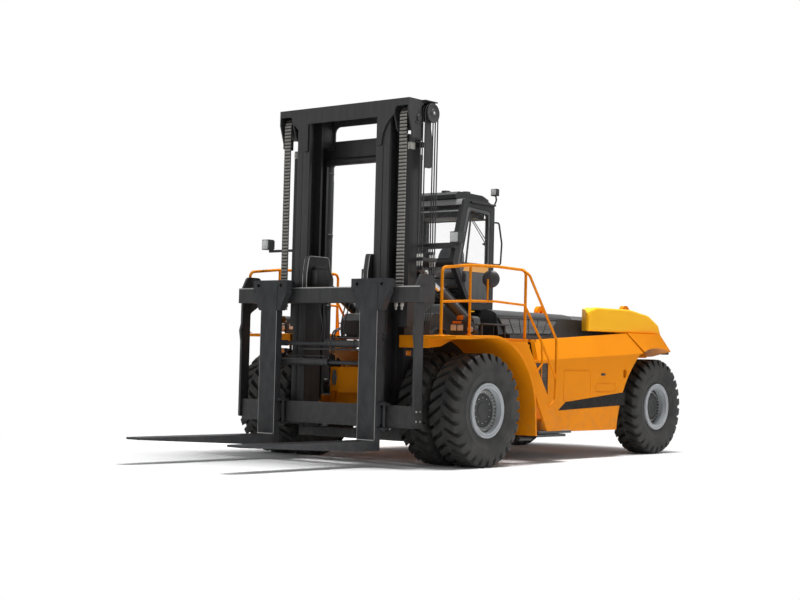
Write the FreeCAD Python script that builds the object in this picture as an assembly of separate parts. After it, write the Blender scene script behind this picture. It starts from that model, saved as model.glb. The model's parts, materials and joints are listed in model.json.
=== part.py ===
"""Heavy electric forklift, one STEP file per named piece.

Millimetres, +X forward (towards the forks), +Y left, +Z up, ground at Z 0.
Shapes are drawn with X counted from the drive axle; save() then moves each one
forward by DRIVE_X, so that the origin lies under the middle of the whole truck.
"""
import FreeCAD, Part
import math
import os

V = FreeCAD.Vector

# ---- driving dimensions ----------------------------------------------------
DRIVE_X = 1310.0          # drive axle, forward of the origin
WHEELBASE = 5717.0
STEER_X = -WHEELBASE      # steer axle, counted from the drive axle
AXLE_Z = 822.0            # wheel centres, and the tyres' rolling radius
TYRE_W = 500.0
OUTER_TYRE_Y = 1905.0     # middle planes of the twin drive tyres
INNER_TYRE_Y = 1335.0
STEER_TYRE_Y = 1395.0
KINGPIN_Y = 1000.0
TYRE_SIDES = 24           # flat sides of a tyre, and lugs on each half of its tread
LUG_FLOOR_R = 748.0       # floor of the gaps between the lugs

BEAD_R = 400.0            # inside radius of a tyre
RIM_R = 398.0             # outside radius of a rim

MAST_PIVOT = (450.0, 800.0)       # X and Z of the mast's foot pins
INNER_MAST_X = (600.0, 890.0)     # inner upright, back and front
INNER_MAST_Y = (654.0, 917.0)     # its inside and outside
OUTER_MAST_X = (300.0, 587.0)
OUTER_MAST_Y = (800.0, 1020.0)
GUIDE_X = (500.0, 700.0)          # the outer upright's front part, out beside the chain
GUIDE_Y = (935.0, 1158.0)
GUIDE_Z = (2000.0, 4700.0)
MAST_TOP = 5300.0
OUTER_MAST_TOP = 4860.0
MAST_BOTTOM = 340.0
CHAIN_Y = 1145.0
CHAIN_W = 130.0
SHEAVE = (690.0, 5030.0, 190.0)   # chain sheave: X, Z and radius
LIFT_X = 205.0                    # lift cylinders
LIFT_Y = 875.0
LIFT_FOOT_Z = 1150.0

HOSE_SHEAVE = (440.0, 5125.0, 135.0)   # hose sheave on the left: X, Z and radius
HOSE_END_Z = 3010.0               # where the hoses leave the outer mast
CHAIN_END_Z = 4705.0              # where the chains are held on the outer mast

FORK_Y = 984.0
FORK_W = 320.0
FORK_X = (1226.0, 1356.0)         # shank, back and front
FORK_TIP_X = 3940.0
FORK_TOP_Z = 370.0

TILT_Y = 1030.0
TILT_FOOT = (-1060.0, 2060.0)     # X and Z of the tilt cylinder's pin on the chassis
TILT_EYE = (200.0, 2810.0)        # and of its rod's eye on the mast

BODY_Y = 1700.0
CAB_Y = 740.0
NOSE_X = 470.0            # front of the frame between the mast uprights
REAR_X = -6560.0
DECK_Z = 1880.0
FENDER_Y = 2110.0
ARCH = (-6053.0, 233.0, 1826.0)   # circle of the rear wheel arch: X, Z and radius
LOUVRE = ((-2170.0, -1815.0), (950.0, 1530.0))      # louvre behind the stairs: X and Z
SERVICE_DOORS = ((-3420.0, -2620.0, 920.0, 1430.0), (-4190.0, -3580.0, 1080.0, 1225.0))
BAR_X = (1000.0, 1200.0)          # carriage bars, back and front
UPPER_BAR_Z = (2333.0, 2560.0)
LOWER_BAR_Z = (560.0, 870.0)
ROLLER_X = 745.0
SHIFT_X = 1120.0                  # fork cylinders, and the heights of the two
UPPER_SHIFT_Z = 1735.0
LOWER_SHIFT_Z = 1460.0


# ---- helpers ---------------------------------------------------------------
def block(x, y, z):
    """Box between the pairs x, y and z."""
    (x0, x1), (y0, y1), (z0, z1) = sorted(x), sorted(y), sorted(z)
    return Part.makeBox(x1 - x0, y1 - y0, z1 - z0, V(x0, y0, z0))


def corner_edges(corners):
    """Closed run of edges through (vector, radius) corners, rounding each that has a radius."""
    runs = []
    for index, (corner, radius) in enumerate(corners):
        if not radius:
            runs.append((corner, None, corner))
            continue
        back = (corners[index - 1][0] - corner).normalize()
        ahead = (corners[(index + 1) % len(corners)][0] - corner).normalize()
        half = back.getAngle(ahead) / 2.0
        reach = radius / math.tan(half)
        middle = (back + ahead).normalize()
        inner = corner + middle * (radius / math.sin(half) - radius)
        runs.append((corner + back * reach, inner, corner + ahead * reach))
    edges = []
    for (first, inner, last), (following, _, _) in zip(runs, runs[1:] + runs[:1]):
        if inner:
            edges.append(Part.Arc(first, inner, last).toShape())
        if (following - last).Length > 1e-6:
            edges.append(Part.LineSegment(last, following).toShape())
    return edges


def prism(corners, along):
    """Solid on a closed outline of (vector, radius) corners, drawn out by the vector along."""
    face = Part.Face(Part.Wire(corner_edges(corners)))
    return face.extrude(along)


def radius_of(point):
    """Corner radius of an outline point, its third value if it has one."""
    return point[2] if len(point) > 2 else 0.0


def plate_y(outline, y):
    """Outline in X and Z, thick between the two y values."""
    y0, y1 = sorted(y)
    return prism([(V(p[0], y0, p[1]), radius_of(p)) for p in outline], V(0, y1 - y0, 0))


def plate_x(outline, x):
    """Outline in Y and Z, thick between the two x values."""
    x0, x1 = sorted(x)
    return prism([(V(x0, p[0], p[1]), radius_of(p)) for p in outline], V(x1 - x0, 0, 0))


def plate_z(outline, z):
    """Outline in X and Y, thick between the two z values."""
    z0, z1 = sorted(z)
    return prism([(V(p[0], p[1], z0), radius_of(p)) for p in outline], V(0, 0, z1 - z0))


def loft(*rings):
    """Ruled solid through closed rings of vectors."""
    return Part.makeLoft([Part.makePolygon(ring + ring[:1]) for ring in rings], True, True)


def bar(start, end, radius):
    """Round bar between two points."""
    start = V(*start)
    along = V(*end) - start
    return Part.makeCylinder(radius, along.Length, start, along)


def pipe(points, radius, bend):
    """Round tube along straight runs, joined by bends of the given radius."""
    points = [V(*p) for p in points]
    edges = []
    begin = points[0]
    for before, corner, after in zip(points, points[1:], points[2:]):
        back = (before - corner).normalize()
        ahead = (after - corner).normalize()
        half = back.getAngle(ahead) / 2.0
        reach = bend / math.tan(half)
        first = corner + back * reach
        last = corner + ahead * reach
        middle = (back + ahead).normalize()
        inner = corner + middle * (bend / math.sin(half) - bend)
        edges.append(Part.LineSegment(begin, first).toShape())
        edges.append(Part.Arc(first, inner, last).toShape())
        begin = last
    edges.append(Part.LineSegment(begin, points[-1]).toShape())
    ring = Part.Wire(Part.makeCircle(radius, points[0], points[1] - points[0]))
    return Part.Wire(edges).makePipeShell([ring], True, False)


def mirrored(shape):
    """The same shape on the truck's other side."""
    return shape.mirror(V(0, 0, 0), V(0, 1, 0))


def join(*shapes):
    """One solid from shapes that meet."""
    return shapes[0].fuse(list(shapes[1:])).removeSplitter()


def group(*shapes):
    """Several solids that do not touch, kept in one piece."""
    return Part.makeCompound([s for shape in shapes for s in shape.Solids])


def save(node, shape):
    """Write one named piece, moved to the truck's own frame."""
    solids = [s.copy() for s in shape.Solids]
    for solid in solids:
        solid.translate(V(DRIVE_X, 0, 0))
    result = solids[0] if len(solids) == 1 else Part.makeCompound(solids)
    if not result.isValid():
        print("not valid:", node)
    result.exportStep("parts/" + node + ".step")


def save_pair(name, left):
    """Write a piece of the left side and its mirror image on the right."""
    save(name + "_left", left)
    save(name + "_right", mirrored(left))


def save_both(name, left):
    """Write a piece of the left side and its mirror image together as one piece."""
    save(name, group(left, mirrored(left)))


# ---- wheels ----------------------------------------------------------------
def faceted_ring(profile, sides):
    """Closed ring about the Y axis with flat sides and a flat side down.

    profile is a closed run of (radius to the flats, y) pairs.
    """
    stretch = 1.0 / math.cos(math.pi / sides)
    rings = []
    for radius, y in profile:
        turn = [2.0 * math.pi * (i + 0.5) / sides for i in range(sides)]
        rings.append([V(radius * stretch * math.sin(a), y, -radius * stretch * math.cos(a))
                      for a in turn])
    faces = []
    for ring, after in zip(rings, rings[1:] + rings[:1]):
        for i in range(sides):
            j = (i + 1) % sides
            corners = [ring[i], ring[j], after[j], after[i], ring[i]]
            faces.append(Part.Face(Part.makePolygon(corners)))
    solid = Part.makeSolid(Part.makeShell(faces))
    if solid.Volume < 0:
        solid.reverse()
    return solid


def tyre_ring():
    """Plain tyre about the Y axis, out to the tips of its lugs."""
    half = TYRE_W / 2.0
    side = [(BEAD_R, half - 50.0), (560.0, half), (700.0, half), (AXLE_Z, half - 35.0)]
    return faceted_ring(side + [(r, -w) for r, w in reversed(side)], TYRE_SIDES)


def lug_gaps():
    """Slanted gaps between the lugs, staggered between the two halves of the tread."""
    outer = TYRE_W / 2.0 + 20.0
    gap = [(-30.0, 28.0), (30.0, 28.0), (100.0, outer), (20.0, outer)]
    left = plate_z(gap, (LUG_FLOOR_R, AXLE_Z + 40.0))
    pitch = 360.0 / TYRE_SIDES
    gaps = []
    for index in range(TYRE_SIDES):
        for shape, turn in ((left, index * pitch), (mirrored(left), (index + 0.5) * pitch)):
            gaps.append(shape.copy().rotate(V(0, 0, 0), V(0, 1, 0), turn))
    return group(*gaps)


def tyre(x, y, ring):
    """The ring with its middle plane moved to y and its axle to x."""
    moved = ring.copy()
    moved.translate(V(x, y, AXLE_Z))
    return moved


def disc(x, y, radius, z=AXLE_Z):
    """Round slab about a line along Y, between the two y values."""
    y0, y1 = sorted(y)
    return Part.makeCylinder(radius, y1 - y0, V(x, y0, z), V(0, 1, 0))


def rim(x, y, face_y):
    """Rim ring about the middle plane y, and its disc at face_y."""
    half = TYRE_W / 2.0 - 22.0
    ring = disc(x, (y - half, y + half), RIM_R).cut(disc(x, (y - half, y + half), RIM_R - 70.0))
    lip = disc(x, (y + half - 30.0, y + half), RIM_R - 20.0)
    ring = ring.cut(lip.cut(disc(x, (y + half - 30.0, y + half), RIM_R - 40.0)))
    return ring.fuse(disc(x, (face_y - 20.0, face_y + 20.0), RIM_R - 60.0))


def drive_wheel():
    """Left twin rims on one hub, with the planetary cover deep inside the outer rim."""
    outer = rim(0.0, OUTER_TYRE_Y, OUTER_TYRE_Y - 40.0)
    inner = rim(0.0, INNER_TYRE_Y, INNER_TYRE_Y + 200.0)
    hub = disc(0.0, (INNER_TYRE_Y + 160.0, OUTER_TYRE_Y + 90.0), 205.0)
    cap = disc(0.0, (OUTER_TYRE_Y + 60.0, OUTER_TYRE_Y + 130.0), 120.0)
    spacer = disc(0.0, (INNER_TYRE_Y + 200.0, OUTER_TYRE_Y - 200.0), RIM_R - 60.0)
    return join(outer, inner, hub, cap, spacer)


def steer_wheel():
    """Left steer rim with its hub."""
    face = STEER_TYRE_Y + 60.0
    wheel = rim(STEER_X, STEER_TYRE_Y, face)
    hub = disc(STEER_X, (face - 110.0, face + 60.0), 165.0)
    return join(wheel, hub)


def knuckle():
    """Left steering knuckle: two arms about the kingpin, a plate and the spindle."""
    arms = []
    for z in ((628.0, 708.0), (936.0, 1016.0)):
        eye = Part.makeCylinder(95.0, z[1] - z[0], V(STEER_X, KINGPIN_Y, z[0]))
        web = block((STEER_X - 90.0, STEER_X + 90.0), (KINGPIN_Y, KINGPIN_Y + 150.0), z)
        arms.append(eye.fuse(web))
    plate = block((STEER_X - 90.0, STEER_X + 90.0),
                  (KINGPIN_Y + 108.0, KINGPIN_Y + 150.0), (628.0, 1016.0))
    spindle = disc(STEER_X, (KINGPIN_Y + 150.0, STEER_TYRE_Y - 53.0), 95.0)
    lever = block((STEER_X - 250.0, STEER_X - 60.0), (KINGPIN_Y - 25.0, KINGPIN_Y + 25.0),
                  (640.0, 700.0))
    return join(arms[0], arms[1], plate, spindle, lever)


def make_wheels():
    plain = tyre_ring()
    lugged = plain.cut(lug_gaps())
    save_pair("drive_tyres", group(tyre(0.0, OUTER_TYRE_Y, lugged), tyre(0.0, INNER_TYRE_Y, plain)))
    save_pair("drive_rims", drive_wheel())
    save_pair("steer_tyre", tyre(STEER_X, STEER_TYRE_Y, lugged))
    save_pair("steer_rim", steer_wheel())
    save_pair("steer_knuckle", knuckle())


# ---- chassis ---------------------------------------------------------------
def main_frame():
    """Two long side members, cross members, the nose and the tail over the steer axle."""
    pieces = []
    member = [(360.0, 560.0), (360.0, 1250.0), (-500.0, 1320.0), (-4500.0, 1320.0),
              (-4500.0, 560.0)]
    for y in ((500.0, 600.0), (-600.0, -500.0)):
        pieces.append(plate_y(member, y))
    for x in ((230.0, 330.0), (-560.0, -480.0), (-1500.0, -1400.0), (-3000.0, -2900.0),
              (-4500.0, -4400.0)):
        pieces.append(block(x, (-500.0, 500.0), (600.0, 1150.0)))
    pieces.append(block((-6300.0, -4450.0), (-270.0, 270.0), (1020.0, 1670.0)))
    pieces.append(block((-6300.0, -6200.0), (-270.0, 270.0), (600.0, 1100.0)))
    nose = [(300.0, -600.0), (365.0, -600.0, 30.0), (NOSE_X - 70.0, -560.0, 30.0),
            (NOSE_X, -340.0, 40.0), (NOSE_X, 340.0, 40.0), (NOSE_X - 70.0, 560.0, 30.0),
            (365.0, 600.0, 30.0), (300.0, 600.0)]
    pieces.append(plate_z(nose, (1030.0, 1390.0)))
    pieces.append(block((320.0, NOSE_X + 5.0), (-340.0, 340.0), (1008.0, 1034.0)))
    frame = join(*pieces)
    opening = block((-400.0, 200.0), (-700.0, 700.0), (540.0, 1060.0))
    return join(frame.cut(opening), *mast_mounts())


def drive_axle():
    """Axle housing with its round differential and a saddle up to each side member."""
    housing = bar((0.0, -1480.0, AXLE_Z), (0.0, 1480.0, AXLE_Z), 150.0)
    bulge = bar((-170.0, 0.0, AXLE_Z), (190.0, 0.0, AXLE_Z), 240.0)
    saddles = [block((-150.0, 150.0), y, (AXLE_Z, 1060.0))
               for y in ((500.0, 600.0), (-600.0, -500.0))]
    return join(housing, bulge, *saddles)


def steer_axle():
    """Steer axle beam with a kingpin sleeve at each end and the boss it swings on."""
    beam = block((STEER_X - 100.0, STEER_X + 100.0), (-900.0, 900.0), (712.0, 932.0))
    sleeves = [Part.makeCylinder(95.0, 220.0, V(STEER_X, y, 712.0))
               for y in (-KINGPIN_Y, KINGPIN_Y)]
    boss = block((STEER_X - 150.0, STEER_X + 150.0), (-180.0, 180.0), (712.0, 1020.0))
    return join(beam, boss, *sleeves)


def battery_block():
    """Traction battery pack, a plain heavy block inside the body."""
    return block((-4300.0, -2100.0), (-1400.0, 1400.0), (1325.0, 1830.0))


def belly():
    """Plate that closes the body from below between the side panels."""
    return block((-4200.0, -2000.0), (-1600.0, 1600.0), (500.0, 560.0))


def side_panel():
    """Left body side: upright wall cut along the wheel arch, and the shoulder leaning in."""
    skin = (BODY_Y - 80.0, BODY_Y)
    wall = plate_y([(-1800.0, 453.0), (-1800.0, 1560.0), (-5010.0, 1732.0), (-5010.0, 453.0)],
                   skin)
    wall = wall.cut(disc(ARCH[0], (BODY_Y - 90.0, BODY_Y + 10.0), ARCH[2], ARCH[1]))
    bulkhead = block((-1850.0, -1800.0), (605.0, BODY_Y), (562.0, 1560.0))
    front = [V(-1890.0, BODY_Y, 1562.0), V(-1985.0, 1550.0, 1885.0),
             V(-1985.0, 1475.0, 1885.0), V(-1890.0, BODY_Y - 80.0, 1562.0)]
    rear = [V(-5100.0, BODY_Y, 1738.0), V(-4770.0, 1550.0, 2070.0),
            V(-4770.0, 1475.0, 2070.0), V(-5100.0, BODY_Y - 80.0, 1738.0)]
    panel = join(wall, bulkhead, loft(front, rear))
    for outline in SERVICE_DOORS:
        x0, x1, z0, z1 = outline
        seam = plate_y([(x0, z0, 40.0), (x1, z0, 40.0), (x1, z1, 40.0), (x0, z1, 40.0)],
                       (BODY_Y - 10.0, BODY_Y + 5.0))
        gap = 10.0
        seam = seam.cut(plate_y([(x0 + gap, z0 + gap, 30.0), (x1 - gap, z0 + gap, 30.0),
                                 (x1 - gap, z1 - gap, 30.0), (x0 + gap, z1 - gap, 30.0)],
                                (BODY_Y - 10.0, BODY_Y + 5.0)))
        panel = panel.cut(seam)
    slot = plate_y([(-4540.0, 1310.0, 40.0), (-4440.0, 1310.0, 40.0), (-4440.0, 1460.0, 40.0),
                    (-4540.0, 1460.0, 40.0)], (BODY_Y - 90.0, BODY_Y + 10.0))
    x, z = LOUVRE
    return panel.cut(slot).cut(block(x, (BODY_Y - 32.0, BODY_Y + 1.0), z))


def slab_top(x):
    """Height of the counterweight's top face, which falls off towards the rear."""
    return min(2080.0, 2090.0 + (x + 5740.0) * 0.151)


def counterweight():
    """Cast counterweight over the steer axle, leaning in above its widest line."""
    rings = []
    for z, half in ((1670.0, ((-5180.0, 1680.0), (-5900.0, 1680.0), (-6270.0, 1170.0),
                              (REAR_X + 150.0, 480.0))),
                    (1780.0, ((-5112.0, BODY_Y), (-6040.0, BODY_Y), (-6400.0, 1200.0),
                              (REAR_X, 500.0))),
                    (2080.0, ((-4775.0, 1560.0), (-5780.0, 1620.0), (-6230.0, 1140.0),
                              (REAR_X + 130.0, 480.0)))):
        ring = [V(x, y, z) for x, y in half]
        rings.append(ring + [V(p.x, -p.y, z) for p in reversed(ring)])
    slab = loft(rings[0], rings[1]).fuse(loft(rings[1], rings[2]))
    trim = [(-5600.0, 2200.0), (-5740.0, 2090.0), (-6600.0, slab_top(-6600.0)),
            (-6600.0, 2200.0)]
    slab = slab.cut(plate_y(trim, (-1800.0, 1800.0)))
    for y in ((1050.0, 1750.0), (-1750.0, -1050.0)):
        slab = slab.cut(disc(-5620.0, y, 1700.0, 140.0))
    return slab.cut(block((-4955.0, -4700.0), (-1300.0, 1300.0), (1600.0, 2400.0)))


def tail_block():
    """Cast block behind the frame's tail, between the steered wheels."""
    plan = [(-6300.0, -270.0), (-6440.0, -270.0, 60.0), (-6440.0, 270.0, 60.0), (-6300.0, 270.0)]
    return plate_z(plan, (700.0, 1670.0))


def top_deck():
    """Plate that carries hood and cab, with a ledge of bolts beside the hood."""
    plan = [(-4980.0, -1470.0), (-1400.0, -1470.0), (-1400.0, -1080.0), (-300.0, -1080.0),
            (-300.0, 1080.0), (-1400.0, 1080.0), (-1400.0, 1470.0), (-4980.0, 1470.0)]
    ledges = [block((-2900.0, -1450.0), y, (DECK_Z, 1955.0))
              for y in ((1258.0, 1465.0), (-1465.0, -1258.0))]
    return join(plate_z(plan, (1840.0, DECK_Z)), *ledges)


def hood_section(inset):
    """Outline in Y and Z of the centre hood, moved inwards by inset."""
    half = [(1250.0 - inset, 1885.0), (1200.0 - inset, 2260.0 - 0.7 * inset),
            (1000.0 - 0.3 * inset, 2330.0 - inset)]
    return half + [(-y, z) for y, z in reversed(half)]


def hood():
    """Black centre hood, a hollow cover that reaches forward on both sides of the cab."""
    cover = plate_x(hood_section(0.0), (-4950.0, -1450.0))
    cover = cover.cut(plate_x(hood_section(50.0), (-4900.0, -1500.0)))
    return cover.cut(block((-2105.0, -1400.0), (-900.0, 900.0), (1800.0, 2400.0)))


def grille_panel():
    """Left mesh panel that lies on the hood's side."""
    ring = []
    for x, z in ((-1650.0, 1972.0), (-2850.0, 2000.0), (-3120.0, 2235.0), (-1475.0, 2215.0)):
        ring.append(V(x, 1250.0 - (z - 1885.0) * 50.0 / 375.0, z))
    return loft(ring, [p + V(0, 16.0, 0) for p in ring])


def nose_vent():
    """Left vent, a hexagon on the corner face of the frame's nose."""
    hexagon = [(-75.0, 0.0), (-40.0, -115.0), (40.0, -115.0), (75.0, 0.0), (40.0, 115.0),
               (-40.0, 115.0)]
    vent = plate_x(hexagon, (0.0, 8.0))
    vent.rotate(V(0, 0, 0), V(0, 0, 1), math.degrees(math.atan2(70.0, 220.0)))
    vent.translate(V(NOSE_X - 35.0, 450.0, 1230.0))
    return vent


def grilles():
    """Left hood panel, nose vent and the louvre set into the body side."""
    (x0, x1), z = LOUVRE
    louvre = block((x0, x1), (BODY_Y - 32.0, BODY_Y - 12.0), z)
    return group(grille_panel(), nose_vent(), louvre)


def pod():
    """Left yellow pod over the counterweight."""
    outline = [(-3500.0, 2080.3, 20.0), (-3500.0, 2190.0, 40.0), (-3640.0, 2420.0, 80.0),
               (-3900.0, 2478.0, 80.0), (-4950.0, 2482.0, 200.0), (-5560.0, 2405.0, 200.0),
               (-5900.0, 2250.0, 120.0), (-6010.0, 2060.0, 20.0), (-5806.2, 2080.3)]
    shape = plate_y(outline, (1260.0, 1520.0))
    crown = [edge for edge in shape.Edges
             if edge.BoundBox.YLength < 1.0 and edge.BoundBox.ZMax > 2200.0]
    corner = [(-3400.0, 1200.0), (-3400.0, 1600.0), (-3610.0, 1600.0), (-3610.0, 1470.0, 80.0),
              (-3860.0, 1200.0)]
    return shape.makeFillet(35.0, crown).cut(plate_z(corner, (2000.0, 2600.0)))


def lifting_lug():
    """Left eye plate on the counterweight."""
    y = 906.0
    gap = 0.3
    outline = [(-5865.0, slab_top(-5865.0) + gap), (-5865.0, 2586.0, 118.0),
               (-5615.0, 2586.0, 118.0), (-5615.0, slab_top(-5615.0) + gap),
               (-5806.2, slab_top(-5806.2) + gap)]
    plate = plate_y(outline, (y - 40.0, y + 40.0))
    return plate.cut(disc(-5740.0, (y - 60.0, y + 60.0), 45.0, 2461.0))


def arc_through(first, middle, last):
    """Edge of a circle in the X-Z plane through three points."""
    return Part.Arc(*[V(x, 0, z) for x, z in (first, middle, last)]).toShape()


def straight(first, last):
    """Straight edge in the X-Z plane."""
    return Part.LineSegment(V(first[0], 0, first[1]), V(last[0], 0, last[1])).toShape()


def fender():
    """Left drive fender with the box at its front and the stairs' outer plate."""
    outer = [(1120.0, DECK_Z), (0.0, 1900.0), (-860.0, 1640.0), (-1262.0, 870.0),
             (-1300.0, 430.0)]
    inner = [(-1260.0, 430.0), (-1222.0, 875.0), (-832.0, 1611.0), (0.0, 1860.0),
             (240.0, 1817.0), (470.0, 1726.0), (890.0, 1688.0), (1120.0, 1680.0)]
    edges = [straight(outer[0], outer[1]), arc_through(*outer[1:4]), straight(*outer[3:5]),
             straight(outer[4], inner[0]), straight(*inner[:2]), arc_through(*inner[1:4])]
    edges += [straight(a, b) for a, b in zip(inner[3:], inner[4:] + outer[:1])]
    face = Part.Face(Part.Wire(edges))
    face.translate(V(0, 1080.0, 0))
    sheet = face.extrude(V(0, FENDER_Y - 1080.0, 0))
    low = [V(-50.0, 1950.0, 1901.0), V(-50.0, 2120.0, 1898.0), V(-50.0, 2120.0, 1960.0)]
    high = [V(1130.0, 1950.0, 1881.0), V(1130.0, 2120.0, 1782.0), V(1130.0, 2120.0, 1960.0)]
    sheet = sheet.cut(loft(low, high))
    sheet = sheet.cut(block((760.0, 1200.0), (1000.0, 1800.0), (1600.0, 2000.0)))
    plate = [(-640.0, 1836.0), (-1107.0, 1836.0), (-2080.0, 490.0), (-1690.0, 490.0),
             (-1240.0, 1230.0), (-1000.0, 1500.0), (-800.0, 1700.0)]
    return join(sheet, plate_y(plate, (1990.0, 2030.0)))


def stairs():
    """Left access stairs: inner stringer, treads and the landing at their top."""
    stringer = [(-1780.0, 490.0), (-2060.0, 490.0), (-1092.0, 1850.0), (-832.0, 1850.0)]
    pieces = [plate_y(stringer, (BODY_Y + 2.0, BODY_Y + 30.0))]
    for step in range(4):
        z = 640.0 + 310.0 * step
        x = -2060.0 + (z - 490.0) * 0.723
        pieces.append(block((x, x + 300.0), (BODY_Y + 20.0, 1990.0), (z, z + 35.0)))
    landing = block((-1400.0, -560.0), (1080.0, 1990.0), (1840.0, DECK_Z))
    pieces.append(landing.cut(block((-1250.0, -1180.0), (1865.0, 2000.0), (1800.0, 1900.0))))
    return join(*pieces)


def bottom_step():
    """Two black steps that hang below the stairs, and the round buffer before them."""
    upper = plate_z([(-2400.0, 1705.0), (-2400.0, 2030.0, 60.0), (-1460.0, 2030.0, 30.0),
                     (-1460.0, 1705.0)], (455.0, 490.0))
    lower = block((-2260.0, -1460.0), (1705.0, 1990.0), (400.0, 440.0))
    hangers = [block(x, (1705.0, 1740.0), (400.0, 490.0))
               for x in ((-2240.0, -2210.0), (-1560.0, -1530.0))]
    buffer = bar((-1560.0, 1800.0, 370.0), (-1240.0, 1800.0, 370.0), 34.0)
    return join(upper, lower, buffer, *hangers)


def railing():
    """Left deck railing with its posts, and the handrails down along the stairs."""
    y = 1900.0
    loop = pipe([(850.0, y, 1885.5), (850.0, y, 2838.0), (203.0, y, 2911.0), (-463.0, y, 2932.0),
                 (-1217.0, y, 2922.0), (-1217.0, y, 1760.0)], 22.0, 90.0)
    middle = pipe([(850.0, y, 2356.0), (190.0, y, 2394.0), (-450.0, y, 2416.0),
                   (-1217.0, y, 2393.0)], 18.0, 60.0)
    post = bar((185.0, y, 1897.0), (185.0, y, 2912.0), 20.0)
    foot = block((-1235.0, -1110.0), (y, 1990.0), (1760.0, 1800.0))
    side = 2055.0
    handrail = pipe([(-1110.0, y, 2924.0), (-1080.0, side, 2850.0), (-1636.0, side, 2155.0),
                     (-1850.0, side, 1890.0), (-1864.0, side, 1382.0), (-1836.0, side, 960.0),
                     (-1715.0, 2028.0, 860.0)], 20.0, 60.0)
    lower = pipe([(-1217.0, y, 2380.0), (-1449.0, side, 1842.0), (-1862.0, side, 1300.0)],
                 18.0, 60.0)
    support = pipe([(-1449.0, side, 1842.0), (-1482.0, side, 1518.0), (-1333.0, 2028.0, 1365.0)],
                   16.0, 60.0)
    rails = join(loop, middle, post, foot, handrail, lower, support)
    return rails.cut(block((-2100.0, -640.0), (1985.0, 2030.3), (480.0, 1836.5)))


def mirror():
    """Left round mirror on the railing."""
    centre = V(-319.0, 1900.0, 2739.0)
    facing = V(0.87, 0.47, 0.0).normalize()
    head = Part.makeCylinder(125.0, 36.0, centre - facing * 18.0, facing)
    arm = pipe([(-245.0, 1900.0, 2429.0), (-245.0, 1900.0, 2661.0), (-319.0, 1900.0, 2739.0)],
               12.0, 30.0)
    return join(head, arm)


def lamp_cluster():
    """Left lamp housing on the fender: two lenses' box, round lamp and indicator."""
    outline = [(1480.0, 1900.0), (1480.0, 2060.0), (1530.0, 2120.0), (1790.0, 2120.0),
               (1840.0, 2060.0), (1840.0, 1900.0)]
    housing = plate_x(outline, (0.0, 100.0))
    round_lamp = bar((20.0, 1868.0, 1990.0), (115.0, 1868.0, 1990.0), 60.0)
    indicator = block((20.0, 80.0), (1590.0, 1720.0), (2115.0, 2180.0))
    return join(housing, round_lamp, indicator)


def turn_lamp():
    """Left lamp on an arm below the fender's front box."""
    head = block((700.0, 760.0), (1200.0, 1300.0), (1580.0, 1660.0))
    arm = block((560.0, 705.0), (1235.0, 1265.0), (1635.0, 1655.0))
    riser = block((560.0, 590.0), (1235.0, 1265.0), (1635.0, 1715.0))
    return join(head, arm, riser)


def tail_lamp():
    """Left lamp on the counterweight's rear corner."""
    lamp = block((-34.0, -0.3), (-120.0, 120.0), (-45.0, 45.0))
    lamp.rotate(V(0, 0, 0), V(0, 0, 1), -35.75)
    lamp.translate(V(-6215.0, 1457.0, 1780.0))
    return lamp


def chassis_lamps():
    """Lamps of the left side."""
    return group(lamp_cluster(), turn_lamp(), tail_lamp())


def front_line(z):
    """Outer X of the cab's upper front face at height z."""
    return -1157.0 + (4000.0 - z) * 0.26


def chin_line(z):
    """Outer X of the cab's lower front face at height z."""
    return -910.0 - (3050.0 - z) * 0.662


def front_slab(line, z, inside, outside, half):
    """Slab that follows a front face between two heights and two distances behind it."""
    outline = [(line(z[0]) - inside, z[0]), (line(z[1]) - inside, z[1]),
               (line(z[1]) - outside, z[1]), (line(z[0]) - outside, z[0])]
    return plate_y(outline, (-half, half))


FRONT_WINDOWS = ((front_line, (3110.0, 3965.0)), (chin_line, (2470.0, 2990.0)))


def cab_frame():
    """Cab shell: floor, pillars, roof and the lower walls, with windows and doorways cut."""
    y = CAB_Y
    profile = [(-1980.0, 2340.0), (-1980.0, 4005.0, 50.0), (-1800.0, 4075.0, 120.0),
               (-1176.0, 4075.0, 40.0), (-910.0, 3050.0, 60.0), (-1380.0, 2340.0)]
    shell = plate_y(profile, (-y, y))
    hollow = [(-1920.0, 2400.0), (-1920.0, 3955.0), (-1790.0, 4015.0), (-1224.0, 4015.0),
              (-975.0, 3050.0), (-1405.0, 2400.0)]
    shell = shell.cut(plate_y(hollow, (-y + 60.0, y - 60.0)))
    doorway = [(-1860.0, 2440.0, 60.0), (-1860.0, 3925.0, 60.0), (-1257.0, 3955.0, 60.0),
               (-1020.0, 3050.0, 60.0), (-1390.0, 2440.0, 60.0)]
    shell = shell.cut(plate_y(doorway, (-y - 10.0, y + 10.0)))
    for line, z in FRONT_WINDOWS:
        shell = shell.cut(front_slab(line, z, 120.0, -30.0, 665.0))
    shell = shell.cut(block((-2100.0, -1900.0), (-600.0, 600.0), (2900.0, 3900.0)))
    parts = [shell]
    for side in (1.0, -1.0):
        inner, outer = side * 715.0, side * 770.0
        parts.append(pipe([(-1965.0, inner, 3757.0), (-2060.0, outer, 3757.0),
                           (-2150.0, outer, 3430.0), (-2125.0, outer, 3086.0),
                           (-1965.0, inner, 3086.0)], 14.0, 40.0))
        parts.append(block((-1140.0, -960.0), (side * 700.0, side * 790.0), (3520.0, 3540.0)))
    return join(*parts)


def cab_glass():
    """Windscreen, chin window and rear window."""
    panes = [front_slab(line, z, 35.0, 27.0, 665.0) for line, z in FRONT_WINDOWS]
    panes.append(block((-1957.0, -1949.0), (-600.0, 600.0), (2900.0, 3900.0)))
    return group(*panes)


def door_window():
    """Outline in X and Z of the door's window, with its rounded rear corners."""
    return [(-1800.0, 3060.0, 40.0), (-1800.0, 3865.0, 60.0), (-1320.0, 3895.0, 90.0),
            (-1095.0, 3060.0, 40.0)]


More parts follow.
